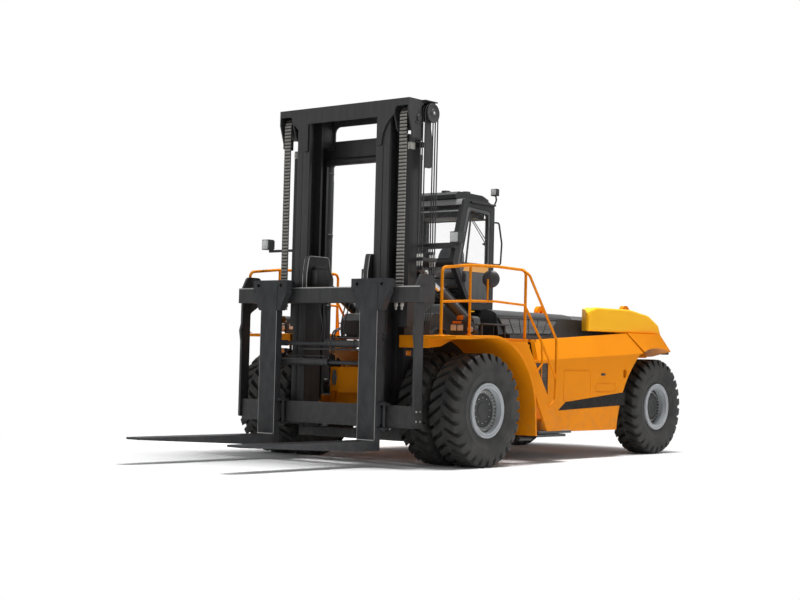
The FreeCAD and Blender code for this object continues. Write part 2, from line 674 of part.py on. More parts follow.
def cab_door():
    """Left cab door: a closed lower panel, a frame about its window, hinges and handle."""
    outline = [(-1852.0, 2448.0, 54.0), (-1852.0, 3917.0, 54.0), (-1266.0, 3947.0, 54.0),
               (-1029.0, 3050.0, 54.0), (-1386.0, 2448.0, 54.0)]
    leaf = plate_y(outline, (CAB_Y - 50.0, CAB_Y))
    leaf = leaf.cut(plate_y(door_window(), (CAB_Y - 60.0, CAB_Y + 10.0)))
    parts = [leaf, block((-1210.0, -1180.0), (CAB_Y, CAB_Y + 35.0), (2760.0, 2900.0))]
    for z in (2650.0, 3650.0):
        parts.append(bar((-1860.0, CAB_Y + 10.0, z), (-1860.0, CAB_Y + 10.0, z + 110.0), 9.0))
        parts.append(block((-1856.0, -1800.0), (CAB_Y - 4.0, CAB_Y + 12.0), (z, z + 110.0)))
    return join(*parts)


def door_glass():
    """Left door's pane."""
    return plate_y(door_window(), (CAB_Y - 29.0, CAB_Y - 21.0))


def cab_pedestal():
    """Hollow black box under the cab, and the cover before it."""
    box = block((-2080.0, -1000.0), (-880.0, 880.0), (DECK_Z, 2230.0))
    box = box.cut(block((-2030.0, -1050.0), (-830.0, 830.0), (DECK_Z - 10.0, 2180.0)))
    front = [(-920.0, DECK_Z), (-920.0, 2390.0, 30.0), (-560.0, 2390.0, 80.0),
             (-480.0, 2235.0, 40.0), (-270.0, 2235.0, 60.0), (-185.0, 2120.0, 30.0),
             (-185.0, 1905.0), (-295.0, 1905.0), (-295.0, DECK_Z)]
    return group(box, plate_y(front, (-880.0, 880.0)))


def cab_feet():
    """Rubber feet between pedestal and cab."""
    return group(*[Part.makeCylinder(70.0, 110.0, V(x, y, 2230.0))
                   for x in (-1860.0, -1460.0) for y in (-560.0, 560.0)])


def seat():
    """Driver's seat on its pedestal, with armrests and headrest."""
    base = block((-1780.0, -1500.0), (-190.0, 190.0), (2400.0, 2700.0))
    cushion = plate_y([(-1850.0, 2700.0), (-1850.0, 2840.0, 40.0), (-1410.0, 2850.0, 50.0),
                       (-1410.0, 2700.0)], (-260.0, 260.0))
    back = plate_y([(-1860.0, 2830.0), (-1740.0, 2830.0), (-1800.0, 3440.0), (-1890.0, 3440.0)],
                   (-250.0, 250.0))
    arms = [block((-1830.0, -1480.0), y, (2980.0, 3040.0))
            for y in ((250.0, 340.0), (-340.0, -250.0))]
    return join(base, cushion, back, *arms)


def steering_column():
    """Column and steering wheel."""
    foot, head = V(-1455.0, 0.0, 2400.0), V(-1290.0, 0.0, 2990.0)
    column = Part.makeCylinder(36.0, (head - foot).Length, foot, head - foot)
    column = column.cut(block((-1600.0, -1300.0), (-100.0, 100.0), (2300.0, 2401.0)))
    wheel = Part.makeTorus(180.0, 16.0, head, V(-0.3, 0.0, 0.95))
    spoke = bar((head.x, -170.0, head.z), (head.x, 170.0, head.z), 14.0)
    return join(column, spoke, wheel)


def roof_unit():
    """Air conditioner on the cab roof, with two domes on top."""
    slab = plate_y([(-2000.0, 4075.0), (-2000.0, 4125.0, 20.0), (-1830.0, 4180.0, 60.0),
                    (-1200.0, 4190.0, 50.0), (-1120.0, 4140.0, 20.0), (-1120.0, 4075.0)],
                   (-600.0, 600.0))
    domes = [Part.makeCylinder(70.0, z - 4150.0, V(x, 300.0, 4150.0))
             for x, z in ((-1260.0, 4215.0), (-1790.0, 4255.0))]
    return join(slab, *domes)


def tilt_foot():
    """Left clevis on the deck for the tilt cylinder."""
    x, z = TILT_FOOT
    outline = [(x - 130.0, DECK_Z), (x - 60.0, z + 60.0), (x + 60.0, z + 60.0),
               (x + 130.0, DECK_Z)]
    ears = [plate_y(outline, (TILT_Y - 60.0, TILT_Y - 40.0)),
            plate_y(outline, (TILT_Y + 40.0, TILT_Y + 60.0))]
    base = block((x - 150.0, x + 150.0), (TILT_Y - 80.0, TILT_Y + 80.0),
                 (DECK_Z, DECK_Z + 30.0))
    pin = disc(x, (TILT_Y - 75.0, TILT_Y + 75.0), 30.0, z)
    return join(base, pin, *ears)


def mast_mounts():
    """Brackets on the frame that carry the mast's foot pins."""
    x, z = MAST_PIVOT
    mounts = []
    for side in (1.0, -1.0):
        ear = block((230.0, 530.0), (side * 600.0, side * 640.0), (640.0, 960.0))
        pin = disc(x, (side * 600.0, side * 795.0), 60.0, z)
        mounts.append(ear.fuse(pin))
    return mounts


def make_chassis():
    save("main_frame", main_frame())
    save("drive_axle", drive_axle())
    save("steer_axle", steer_axle())
    save("battery_block", battery_block())
    save("belly_plate", belly())
    save_pair("side_panel", side_panel())
    save("counterweight", counterweight())
    save("tail_block", tail_block())
    save_both("lifting_lugs", lifting_lug())
    save("top_deck", top_deck())
    save("hood", hood())
    save_both("grilles", grilles())
    save_both("pods", pod())
    save_pair("fender", fender())
    save_both("stairs", stairs())
    save_both("bottom_steps", bottom_step())
    save_both("railings", railing())
    save_both("mirrors", mirror())
    save_both("chassis_lamps", chassis_lamps())
    save("cab_frame", cab_frame())
    save("cab_glass", cab_glass())
    save_pair("cab_door", cab_door())
    save_pair("door_glass", door_glass())
    save("cab_pedestal", cab_pedestal())
    save("cab_feet", cab_feet())
    save("seat", seat())
    save("steering_column", steering_column())
    save("roof_unit", roof_unit())
    save_both("tilt_feet", tilt_foot())


# ---- tilt cylinders --------------------------------------------------------
def tilt_point(distance):
    """Point on the tilt cylinder's line, counted from its foot pin."""
    span = math.hypot(TILT_EYE[0] - TILT_FOOT[0], TILT_EYE[1] - TILT_FOOT[1])
    share = distance / span
    return (TILT_FOOT[0] + share * (TILT_EYE[0] - TILT_FOOT[0]), TILT_Y,
            TILT_FOOT[1] + share * (TILT_EYE[1] - TILT_FOOT[1]))


def tilt_barrel():
    """Left tilt cylinder barrel with the eye about its foot pin."""
    body = bar(tilt_point(170.0), tilt_point(990.0), 78.0)
    body = body.fuse(bar(tilt_point(0.0), tilt_point(180.0), 34.0))
    eye = disc(TILT_FOOT[0], (TILT_Y - 34.0, TILT_Y + 34.0), 62.0, TILT_FOOT[1])
    body = body.fuse(eye)
    body = body.cut(bar(tilt_point(220.0), tilt_point(1000.0), 50.0))
    return body.cut(disc(TILT_FOOT[0], (TILT_Y - 60.0, TILT_Y + 60.0), 31.0, TILT_FOOT[1]))


def tilt_rod():
    """Left tilt cylinder rod with its eye."""
    span = math.hypot(TILT_EYE[0] - TILT_FOOT[0], TILT_EYE[1] - TILT_FOOT[1])
    shaft = bar(tilt_point(565.0), tilt_point(span - 20.0), 45.0)
    eye = disc(TILT_EYE[0], (TILT_Y - 25.0, TILT_Y + 25.0), 60.0, TILT_EYE[1])
    return join(shaft, eye)


def make_tilt_cylinders():
    save_pair("tilt_barrel", tilt_barrel())
    save_pair("tilt_rod", tilt_rod())


# ---- mast ------------------------------------------------------------------
def outer_upright():
    """Left outer upright, a channel stepped out at its front, with the tilt rod's lugs."""
    (x0, x1), (y0, y1) = OUTER_MAST_X, OUTER_MAST_Y
    z = (MAST_BOTTOM, OUTER_MAST_TOP - 30.0)
    web = block((x0, x1), (y1 - 60.0, y1), z)
    back = block((x0, x0 + 45.0), (y0, y1), z)
    front = block((x1 - 45.0, x1), (y0, y1), z)
    ex, ez = TILT_EYE
    base = block((x0 - 25.0, x0), (TILT_Y - 70.0, TILT_Y + 70.0), (ez - 90.0, ez + 90.0))
    lugs = [block((ex - 70.0, x0), y, (ez - 70.0, ez + 70.0))
            for y in ((TILT_Y - 65.0, TILT_Y - 45.0), (TILT_Y + 45.0, TILT_Y + 65.0))]
    (g0, g1), (w0, w1) = GUIDE_X, GUIDE_Y
    guide = [block((g0, g1), (w1 - 63.0, w1), GUIDE_Z),
             block((g0, g0 + 45.0), (y1 - 20.0, w1), GUIDE_Z),
             block((g1 - 45.0, g1), (w0, w1), GUIDE_Z)]
    return join(web, back, front, base, *lugs, *guide)


def outer_mast():
    """Outer uprights with their cross beams, foot plates and the mast's foot bearings."""
    x0, x1 = OUTER_MAST_X
    y0 = OUTER_MAST_Y[0]
    pieces = [outer_upright(), mirrored(outer_upright())]
    pieces.append(block((x0, x0 + 45.0), (-y0, y0), (4600.0, OUTER_MAST_TOP)))
    pieces.append(block((x0, x0 + 45.0), (-y0, y0), (2390.0, 2600.0)))
    pieces.append(block((x0, x1), (-y0, y0), (MAST_BOTTOM, MAST_BOTTOM + 140.0)))
    for side in (1.0, -1.0):
        shelf = block((LIFT_X - 60.0, x0), (side * (LIFT_Y - 60.0), side * (LIFT_Y + 60.0)),
                      (LIFT_FOOT_Z - 60.0, LIFT_FOOT_Z))
        sheave_x = SHEAVE[0] - SHEAVE[2]
        anchor = block((sheave_x - 25.0, sheave_x + 45.0), (side * 1060.0, side * 1215.0),
                       (CHAIN_END_Z - 80.0, CHAIN_END_Z))
        pieces += [shelf, anchor]
    pieces.append(bar((x0 + 20.0, -y0, 4545.0), (x0 + 20.0, y0, 4545.0), 58.0))
    hose_z = (HOSE_END_Z - 50.0, HOSE_END_Z)
    pieces.append(block((x0, x0 + 40.0), (1000.0, 1350.0), hose_z))
    pieces.append(block((x0 - 25.0, 605.0), (1215.0, 1350.0), hose_z))
    frame = join(*pieces)
    px, pz = MAST_PIVOT
    for side in (1.0, -1.0):
        boss = disc(px, (side * 800.0, side * 1010.0), 125.0, pz)
        frame = frame.fuse(boss)
        frame = frame.cut(disc(px, (side * 799.0, side * 801.0 + side * 10.0), 61.0, pz))
    return frame.removeSplitter()


def lift_cylinders():
    """Barrels of the two lift cylinders, open at the top for their rods."""
    barrels = []
    for y in (-LIFT_Y, LIFT_Y):
        tube = Part.makeCylinder(75.0, 4560.0 - LIFT_FOOT_Z, V(LIFT_X, y, LIFT_FOOT_Z))
        bore = Part.makeCylinder(58.0, 4600.0 - LIFT_FOOT_Z, V(LIFT_X, y, LIFT_FOOT_Z + 50.0))
        barrels.append(tube.cut(bore))
    return group(*barrels)


def lift_rods():
    """Rods of the lift cylinders, from inside the barrels up to the inner mast's top plate."""
    return group(*[Part.makeCylinder(55.0, 5265.0 - 1900.0, V(LIFT_X, y, 1900.0))
                   for y in (-LIFT_Y, LIFT_Y)])


def inner_upright():
    """Left inner upright, an I section."""
    (x0, x1), (y0, y1) = INNER_MAST_X, INNER_MAST_Y
    z = (MAST_BOTTOM + 180.0, MAST_TOP - 40.0)
    flanges = [block((x1 - 40.0, x1), (y0, y1), z), block((x0, x0 + 40.0), (y0, y1), z)]
    web = block((x0, x1), (y0 + 120.0, y0 + 180.0), z)
    return join(web, *flanges)


def gusset():
    """Left web below the top beam, hollowed out beside the upright."""
    front = INNER_MAST_X[1]
    web = block((front, front + 28.0), (690.0, 1000.0), (4646.0, 5080.0))
    return web.cut(bar((front - 10.0, 1300.0, 4644.0), (front + 40.0, 1300.0, 4644.0), 529.0))


def sheave_plates():
    """Plates on both sides of the left chain sheave, hung from the top plate."""
    front = INNER_MAST_X[1] + 28.0
    outer = [(630.0, MAST_TOP), (630.0, 4730.0), (833.0, 4730.0), (833.0, 4810.0, 100.0),
             (front, 5080.0, 100.0), (front, MAST_TOP)]
    inner = [(470.0, MAST_TOP), (470.0, 4950.0), (602.0, 4950.0), (602.0, 4830.0),
             (833.0, 4830.0, 60.0), (front, 5080.0, 100.0), (front, MAST_TOP)]
    return [plate_y(outer, (1255.0, 1281.0)), plate_y(inner, (990.0, 1016.0))]


def inner_mast():
    """Inner uprights, the deep top beam and the plate over the chain sheaves."""
    front = INNER_MAST_X[1]
    beam = plate_x([(-1281.0, 5195.0), (-1040.0, 5195.0, 60.0), (-985.0, 5065.0, 40.0),
                    (985.0, 5065.0, 40.0), (1040.0, 5195.0, 60.0), (1281.0, 5195.0),
                    (1281.0, MAST_TOP), (-1281.0, MAST_TOP)], (front, front + 28.0))
    roof = plate_z([(120.0, -1000.0), (320.0, -1000.0), (320.0, -1281.0), (front, -1281.0),
                    (front, 1281.0), (320.0, 1281.0), (320.0, 1000.0), (120.0, 1000.0)],
                   (MAST_TOP - 35.0, MAST_TOP))
    cap = block((330.0, 620.0), (1250.0, 1345.0), (MAST_TOP - 15.0, MAST_TOP))
    skirt = plate_x([(-1000.0, 5270.0), (-1000.0, 5190.0), (-790.0, 5190.0), (-790.0, 4730.0),
                     (-620.0, 4730.0), (-620.0, 5075.0, 100.0), (620.0, 5075.0, 100.0),
                     (620.0, 4730.0), (790.0, 4730.0), (790.0, 5190.0), (1000.0, 5190.0),
                     (1000.0, 5270.0)], (352.0, 377.0))
    tie = block((INNER_MAST_X[0], INNER_MAST_X[0] + 40.0), (-700.0, 700.0), (560.0, 760.0))
    halves = [inner_upright(), gusset()] + sheave_plates()
    return join(beam, roof, cap, skirt, tie, *halves, *[mirrored(half) for half in halves])


def hose_sheave():
    """Hose sheave beside the inner mast's top plate, with the guard below it."""
    x, z, radius = HOSE_SHEAVE
    wheel = disc(x, (1215.0, 1336.0), radius, z)
    flange = disc(x, (1336.0, 1350.0), radius + 8.0, z)
    plate = [(x - 60.0, 4320.0, 60.0), (x + 100.0, 4320.0), (x + 100.0, 5230.0),
             (x - 20.0, 5230.0), (x - 20.0, 4900.0, 60.0), (x - 60.0, 4740.0, 60.0)]
    return join(wheel, flange, plate_y(plate, (1286.0, 1298.0)))


def chain_sheaves():
    """Chain sheaves under the inner mast's top plate, each on a pin, and the hose sheave."""
    x, z, radius = SHEAVE
    sheaves = []
    for side in (1.0, -1.0):
        wheel = disc(x, (side * (CHAIN_Y - 70.0), side * (CHAIN_Y + 70.0)), radius - 20.0, z)
        pin = disc(x, (side * 1016.5, side * 1254.5), 40.0, z)
        sheaves.append(wheel.fuse(pin))
    return group(hose_sheave(), *sheaves)


def mast_hoses():
    """Both strands of the three hoses that hang from their sheave."""
    x, z, radius = HOSE_SHEAVE
    strands = []
    for y in (1232.0, 1274.0, 1318.0):
        for reach in (radius + 12.0, -radius - 12.0):
            strands.append(bar((x + reach, y, HOSE_END_Z), (x + reach, y, z), 10.0))
    return group(*strands)


def chain_front():
    """Left front strand of the lift chain, from its sheave down to the carriage."""
    x, z, radius = SHEAVE
    half = CHAIN_W / 2.0
    return block((x + radius - 20.0, x + radius), (CHAIN_Y - half, CHAIN_Y + half), (2480.0, z))


def chain_rear():
    """Left rear strand of the lift chain, from its sheave down to the outer mast."""
    x, z, radius = SHEAVE
    half = CHAIN_W / 2.0
    return block((x - radius, x - radius + 20.0), (CHAIN_Y - half, CHAIN_Y + half),
                 (CHAIN_END_Z, z))


def mast_lamps():
    """Work lamps on arms out to both sides of the outer mast."""
    lamps = []
    for side in (1.0, -1.0):
        arm = block((430.0, 460.0), (side * 1020.0, side * 1890.0), (3170.0, 3210.0))
        lamp = block((440.0, 560.0), (side * 1800.0, side * 1950.0), (3210.0, 3370.0))
        lamps.append(arm.fuse(lamp))
    return group(*lamps)


def make_mast():
    save("outer_mast", outer_mast())
    save("lift_cylinders", lift_cylinders())
    save("mast_lamps", mast_lamps())
    save("inner_mast", inner_mast())
    save("lift_rods", lift_rods())
    save("chain_sheaves", chain_sheaves())
    save_both("chains_front", chain_front())
    save_both("chains_rear", chain_rear())
    save("mast_hoses", mast_hoses())


# ---- carriage and forks ----------------------------------------------------
def carriage_side():
    """Left plate of the carriage inside the inner mast, with its rollers."""
    outline = [(650.0, 480.0), (1000.0, 480.0), (1000.0, 2800.0, 300.0),
               (955.0, 3055.0, 30.0), (510.0, 3055.0, 30.0), (470.0, 2860.0, 60.0),
               (395.0, 2740.0), (395.0, 2640.0), (650.0, 2560.0)]
    plate = plate_y(outline, (560.0, 640.0))
    rollers = [disc(ROLLER_X, (640.0, 765.0), 100.0, z) for z in (640.0, 2360.0)]
    return join(plate, *rollers)


def end_plate():
    """Left end plate of the carriage, joining both bars."""
    outline = [(1030.0, 600.0, 30.0), (1028.0, 2180.0, 60.0), (792.0, 2328.0, 60.0),
               (778.0, 2606.0, 60.0), (832.0, 2738.0, 80.0), (1104.0, 2738.0, 70.0),
               (1198.0, 2560.0, 60.0), (1198.0, 2022.0), (1230.0, 1915.0, 40.0),
               (1200.0, 1750.0), (1200.0, 600.0, 30.0)]
    return plate_y(outline, (1690.0, 1730.0))


def shift_barrel(z, y):
    """Barrel of a fork cylinder from its closed end y[0] to its open end y[1]."""
    step = 30.0 if y[1] > y[0] else -30.0
    barrel = bar((SHIFT_X, y[0], z), (SHIFT_X, y[1], z), 52.0)
    return barrel, bar((SHIFT_X, y[0] + step, z), (SHIFT_X, y[1] + step, z), 40.0)


def carriage():
    """Two bars, the roller plates, the end plates and the fork cylinders' barrels."""
    pieces = [block(BAR_X, (-1785.0, 1785.0), UPPER_BAR_Z),
              block((BAR_X[0] - 40.0, BAR_X[1] - 40.0), (-1690.0, 1690.0), LOWER_BAR_Z),
              block((960.0, 1060.0), (-640.0, 640.0), (1640.0, 1665.0))]
    for side in (carriage_side(), end_plate()):
        pieces += [side, mirrored(side)]
    for side in (1.0, -1.0):
        pieces.append(block((850.0, 1000.0), (side * 1050.0, side * 1230.0), (2360.0, 2480.0)))
    bores = []
    for z, y, side in ((UPPER_SHIFT_Z, (1050.0, 0.0), 1.0), (LOWER_SHIFT_Z, (-1000.0, 50.0), -1.0)):
        barrel, bore = shift_barrel(z, y)
        bores.append(bore)
        pieces += [barrel, block((990.0, SHIFT_X - 30.0), (side * 585.0, side * 635.0),
                                 (z - 50.0, z + 50.0))]
    pieces.append(bar((SHIFT_X, -1380.0, LOWER_SHIFT_Z), (SHIFT_X, -980.0, LOWER_SHIFT_Z), 22.0))
    shape = join(*pieces)
    for bore in bores:
        shape = shape.cut(bore)
    return shape


def fork_clamp(y):
    """Lugs above and below the lower bar beside a fork, with the roller between them."""
    top, bottom = LOWER_BAR_Z[1] + 5.0, LOWER_BAR_Z[0] - 35.0
    return [block((1100.0, 1300.0), y, (top, top + 30.0)),
            block((1100.0, 1300.0), y, (bottom, bottom + 30.0)),
            bar((1196.0, sum(y) / 2.0, bottom), (1196.0, sum(y) / 2.0, top + 30.0), 25.0)]


def shift_rod(z, end):
    """Rod of a left fork's cylinder at height z, in from its lug to y = end."""
    lug = block((SHIFT_X - 42.0, FORK_X[0] + 20.0), (828.0, 884.0), (z - 42.0, z + 42.0))
    return [lug, bar((SHIFT_X, 880.0, z), (SHIFT_X, end, z), 28.0)]


def fork():
    """Left fork: tapered blade, shank, top plate with two holes and its hook."""
    x0, x1 = FORK_X
    tip = FORK_TIP_X
    side = [(x0, 225.0), (x0 + 60.0, FORK_TOP_Z - 145.0), (1700.0, FORK_TOP_Z - 145.0),
            (tip, FORK_TOP_Z - 30.0), (tip, FORK_TOP_Z), (x1, FORK_TOP_Z), (x1, 2600.0),
            (x0, 2600.0)]
    half = FORK_W / 2.0
    blank = plate_y(side, (FORK_Y - half, FORK_Y + half))
    taper = [(1700.0, FORK_Y - half - 5.0), (tip + 5.0, FORK_Y - half - 5.0),
             (tip + 5.0, FORK_Y - 130.0), (tip - 350.0, FORK_Y - half)]
    blank = blank.cut(plate_z(taper, (100.0, 600.0)))
    taper = [(px, 2.0 * FORK_Y - py) for px, py in taper]
    blank = blank.cut(plate_z(taper, (100.0, 600.0)))
    top = [(-344.0, 2667.0), (344.0, 2667.0), (344.0, 2480.0), (214.0, 2217.0),
           (-214.0, 2217.0), (-344.0, 2480.0)]
    head = plate_x([(FORK_Y + py, pz) for py, pz in top], (x0, x1 - 6.0))
    hook = block((BAR_X[0] + 10.0, x0), (FORK_Y - 200.0, FORK_Y + 200.0), (2570.0, 2667.0))
    heel_pad = block((BAR_X[1] - 30.0, x0), (FORK_Y - half, FORK_Y + half), (600.0, 830.0))
    shape = join(blank, head, hook, heel_pad, *fork_clamp((FORK_Y + half, FORK_Y + half + 76.0)),
                 *fork_clamp((FORK_Y - half - 76.0, FORK_Y - half)))
    for side in (-230.0, 230.0):
        hole = bar((x0 - 50.0, FORK_Y + side, 2590.0), (x1 + 50.0, FORK_Y + side, 2590.0), 26.0)
        shape = shape.cut(hole)
    return shape


def make_carriage():
    save("carriage", carriage())
    save("fork_left", join(fork(), *shift_rod(LOWER_SHIFT_Z, -360.0)))
    save("fork_right", mirrored(join(fork(), *shift_rod(UPPER_SHIFT_Z, -400.0))))


def main():
    os.makedirs("parts", exist_ok=True)
    make_wheels()
    make_chassis()
    make_tilt_cylinders()
    make_mast()
    make_carriage()


main()
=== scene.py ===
"""Dresses the heavy electric forklift: finishes, tyres, lamps, cab fittings and the studio."""

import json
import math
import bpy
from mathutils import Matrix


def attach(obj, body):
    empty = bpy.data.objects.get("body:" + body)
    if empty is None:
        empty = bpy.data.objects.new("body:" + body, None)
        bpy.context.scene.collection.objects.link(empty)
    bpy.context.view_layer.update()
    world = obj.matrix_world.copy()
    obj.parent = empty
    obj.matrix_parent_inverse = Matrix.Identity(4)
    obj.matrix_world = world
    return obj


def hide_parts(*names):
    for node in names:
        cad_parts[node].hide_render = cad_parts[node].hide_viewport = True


bl_info = {
    "name": "Heavy forklift dressing",
    "version": (1, 0, 0),
    "blender": (4, 5, 0),
    "location": "View3D > Sidebar > Forklift",
    "description": "Adds finishes and fine pieces to the packed forklift model",
    "category": "Object",
}

import bmesh
import bpy
from mathutils import Matrix, Vector

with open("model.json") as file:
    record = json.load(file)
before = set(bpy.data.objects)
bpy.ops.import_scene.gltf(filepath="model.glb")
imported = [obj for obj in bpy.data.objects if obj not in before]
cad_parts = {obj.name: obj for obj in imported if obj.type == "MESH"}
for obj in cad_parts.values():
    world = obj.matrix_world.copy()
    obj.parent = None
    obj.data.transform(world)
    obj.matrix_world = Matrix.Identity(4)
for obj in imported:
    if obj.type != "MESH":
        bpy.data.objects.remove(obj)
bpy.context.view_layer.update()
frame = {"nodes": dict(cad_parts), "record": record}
SIDES = (("left", 1.0), ("right", -1.0))

# Metres. Pieces are drawn with X counted from the drive axle, as the solids are,
# and finish_piece() moves them forward by DRIVE_X.
DRIVE_X = 1.310
STEER_X = -5.717
AXLE_Z = 0.822
TYRE_RADIUS = 0.822
TYRE_HALF = 0.25              # half a tyre's width
TWINS_Y = (1.905, 1.335)      # the two drive tyres of a side
STEER_Y = 1.395
SHEAVE = (0.690, 5.030)       # chain sheave: X and Z
CHAIN_Y = 1.145
CHAIN_RADIUS = 0.18
CHAIN_WIDTH = 0.130
CHAIN_PITCH = 0.0514
HOSE_SHEAVE = (0.44, 5.125)   # X and Z
HOSES_Y = (1.232, 1.274, 1.318)
LIFT_X = 0.205                # lift cylinder
LIFT_Y = 0.875
FORK_Y = 0.984
TILT_FOOT = Vector((-1.060, 1.030, 2.060))
TILT_LINE = Vector((1.260, 0.0, 0.750)).normalized()
SOFT_ANGLE = 35.0             # degrees: edges sharper than this stay crisp
CASE_GREY = "#5A5C5E"
DUST = "#6B655B"

MATERIALS = {}                # finish: material
TREES = {}                    # name of a repeat tree: tree


# ---- helpers for meshes ----------------------------------------------------
def mesh_object(name, bm):
    """Turn a bmesh into an object of the scene."""
    mesh = bpy.data.meshes.new(name)
    bm.to_mesh(mesh)
    bm.free()
    obj = bpy.data.objects.new(name, mesh)
    bpy.context.scene.collection.objects.link(obj)
    return obj


def evaluated(obj):
    """New mesh of an object as its modifiers leave it."""
    graph = bpy.context.evaluated_depsgraph_get()
    return bpy.data.meshes.new_from_object(obj.evaluated_get(graph))


def mirror_across(bm):
    """Add the mirror image on the truck's other side."""
    made = bmesh.ops.duplicate(bm, geom=bm.verts[:] + bm.edges[:] + bm.faces[:])
    for item in made["geom"]:
        if isinstance(item, bmesh.types.BMVert):
            item.co.y = -item.co.y


def piece(name, bm, finish, body="chassis", both=False):
    """Turn a bmesh into a finished piece that rides on a body."""
    if both:
        mirror_across(bm)
    bmesh.ops.remove_doubles(bm, verts=bm.verts, dist=1e-5)
    bmesh.ops.recalc_face_normals(bm, faces=bm.faces)
    return finish_piece(mesh_object(name, bm), finish, body)


def finish_piece(obj, finish, body, smooth=SOFT_ANGLE):
    """Give a mesh object its material, soft shading and body."""
    if not obj.data.materials:
        obj.data.materials.append(MATERIALS[finish])
    obj.data.transform(Matrix.Translation((DRIVE_X, 0.0, 0.0)))
    obj.data.shade_smooth()
    obj.data.set_sharp_from_angle(angle=math.radians(smooth))
    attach(obj, body)
    return obj


def about(middle, half):
    """Pair of values that stand half to each side of middle."""
    return middle - half, middle + half


def add_prism(bm, outline, axis, low, high, bevel=0.0):
    """Extrude an outline along an axis (0, 1 or 2) between two heights."""
    def corner(point, height):
        """Point of the outline, lifted along the axis."""
        values = list(point)
        values.insert(axis, height)
        return Vector(values)
    lower = [bm.verts.new(corner(p, low)) for p in outline]
    upper = [bm.verts.new(corner(p, high)) for p in outline]
    faces = [bm.faces.new(lower), bm.faces.new(upper)]
    count = len(outline)
    for i in range(count):
        j = (i + 1) % count
        faces.append(bm.faces.new((lower[i], lower[j], upper[j], upper[i])))
    bmesh.ops.recalc_face_normals(bm, faces=faces)
    if bevel:
        edges = list({e for f in faces for e in f.edges})
        bmesh.ops.bevel(bm, geom=edges, offset=bevel, segments=2, profile=0.6, affect='EDGES')


def add_box(bm, x, y, z, bevel=0.004):
    """Box between the pairs x, y and z with softened edges."""
    add_prism(bm, [(x[0], y[0]), (x[1], y[0]), (x[1], y[1]), (x[0], y[1])], 2, z[0], z[1], bevel)


def arc(first, middle, last, count):
    """Points of the circular arc through three points of a plane, both ends included."""
    a, b, c = (Vector((*p, 0.0)) for p in (first, middle, last))
    size = 2.0 * (a - b).cross(b - c).z
    sums = [p.length_squared for p in (a, b, c)]
    centre = Vector(((sums[0] * (b.y - c.y) + sums[1] * (c.y - a.y) + sums[2] * (a.y - b.y)),
                     (sums[0] * (c.x - b.x) + sums[1] * (a.x - c.x) + sums[2] * (b.x - a.x)),
                     0.0)) / size
    start = a - centre
    turn = start.to_2d().angle_signed((c - centre).to_2d())
    turned = [Matrix.Rotation(-turn * i / count, 3, 'Z') @ start + centre
              for i in range(count + 1)]
    return [(p.x, p.y) for p in turned]


def add_lathe(bm, profile, centre, axis=(0, 1, 0), segments=48):
    """Revolve (radius, height) points about an axis through centre."""
    turn = Vector((0, 0, 1)).rotation_difference(Vector(axis)).to_matrix()
    rings = []
    for radius, height in profile:
        if radius < 1e-6:
            rings.append([bm.verts.new(Vector(centre) + turn @ Vector((0, 0, height)))])
            continue
        ring = []
        for i in range(segments):
            a = 2.0 * math.pi * i / segments
            spot = Vector((radius * math.cos(a), radius * math.sin(a), height))
            ring.append(bm.verts.new(Vector(centre) + turn @ spot))
        rings.append(ring)
    for first, second in zip(rings, rings[1:]):
        for i in range(segments):
            j = (i + 1) % segments
            if len(first) == 1 and len(second) == 1:
                continue
            if len(first) == 1:
                bm.faces.new((first[0], second[i], second[j]))
            elif len(second) == 1:
                bm.faces.new((first[i], first[j], second[0]))
            else:
                bm.faces.new((first[i], first[j], second[j], second[i]))


def add_cap(bm, centre, axis, side, top, segments):
    """Round cap with a chamfer between side and top, each a (radius, height)."""
    add_lathe(bm, [(0.0, 0.0), (side[0], 0.0), side, top, (0.0, top[1])], centre, axis, segments)


def add_nut(bm, centre, axis, radius, height):
    """Plain hexagon nut."""
    add_lathe(bm, [(0.0, 0.0), (radius, 0.0), (radius, height), (0.0, height)], centre, axis, 6)


def add_collar(bm, centre, axis, inner, radius, low, high, lead, chamfer):
    """Collar round a cylinder, chamfered by lead at its foot and by chamfer at its top."""
    add_lathe(bm, [(inner, low), (radius - lead, low), (radius, low + lead),
                   (radius, high - chamfer), (radius - chamfer, high), (inner, high)],
              centre, axis, 40)


def add_tube(bm, points, radius, sides=12, bend=0.05):
    """Round tube along straight runs with rounded corners."""
    points = [Vector(p) for p in points]
    path = [points[0]]
    for before, corner, after in zip(points, points[1:], points[2:]):
        back = (before - corner).normalized()
        ahead = (after - corner).normalized()
        reach = min(bend, (before - corner).length / 2.1, (after - corner).length / 2.1)
        start = corner + back * reach
        end = corner + ahead * reach
        for step in range(7):
            t = step / 6.0
            path.append(start * (1 - t) ** 2 + corner * 2 * t * (1 - t) + end * t ** 2)
    path.append(points[-1])
    rings = []
    side = None
    for i, spot in enumerate(path):
        along = (path[min(i + 1, len(path) - 1)] - path[max(i - 1, 0)]).normalized()
        if side is None:
            side = along.orthogonal().normalized()
        side = (side - along * side.dot(along)).normalized()
        up = along.cross(side)
        rings.append([bm.verts.new(spot + radius * (math.cos(a) * side + math.sin(a) * up))
                      for a in (2 * math.pi * k / sides for k in range(sides))])
    for first, second in zip(rings, rings[1:]):
        for k in range(sides):
            m = (k + 1) % sides
            bm.faces.new((first[k], first[m], second[m], second[k]))
    bm.faces.new(rings[0])
    bm.faces.new(list(reversed(rings[-1])))


def add_frame(bm, corners, radius):
    """Closed frame of straight round bars between corners."""
    for start, end in zip(corners, corners[1:] + corners[:1]):
        add_tube(bm, [start, end], radius, 8)


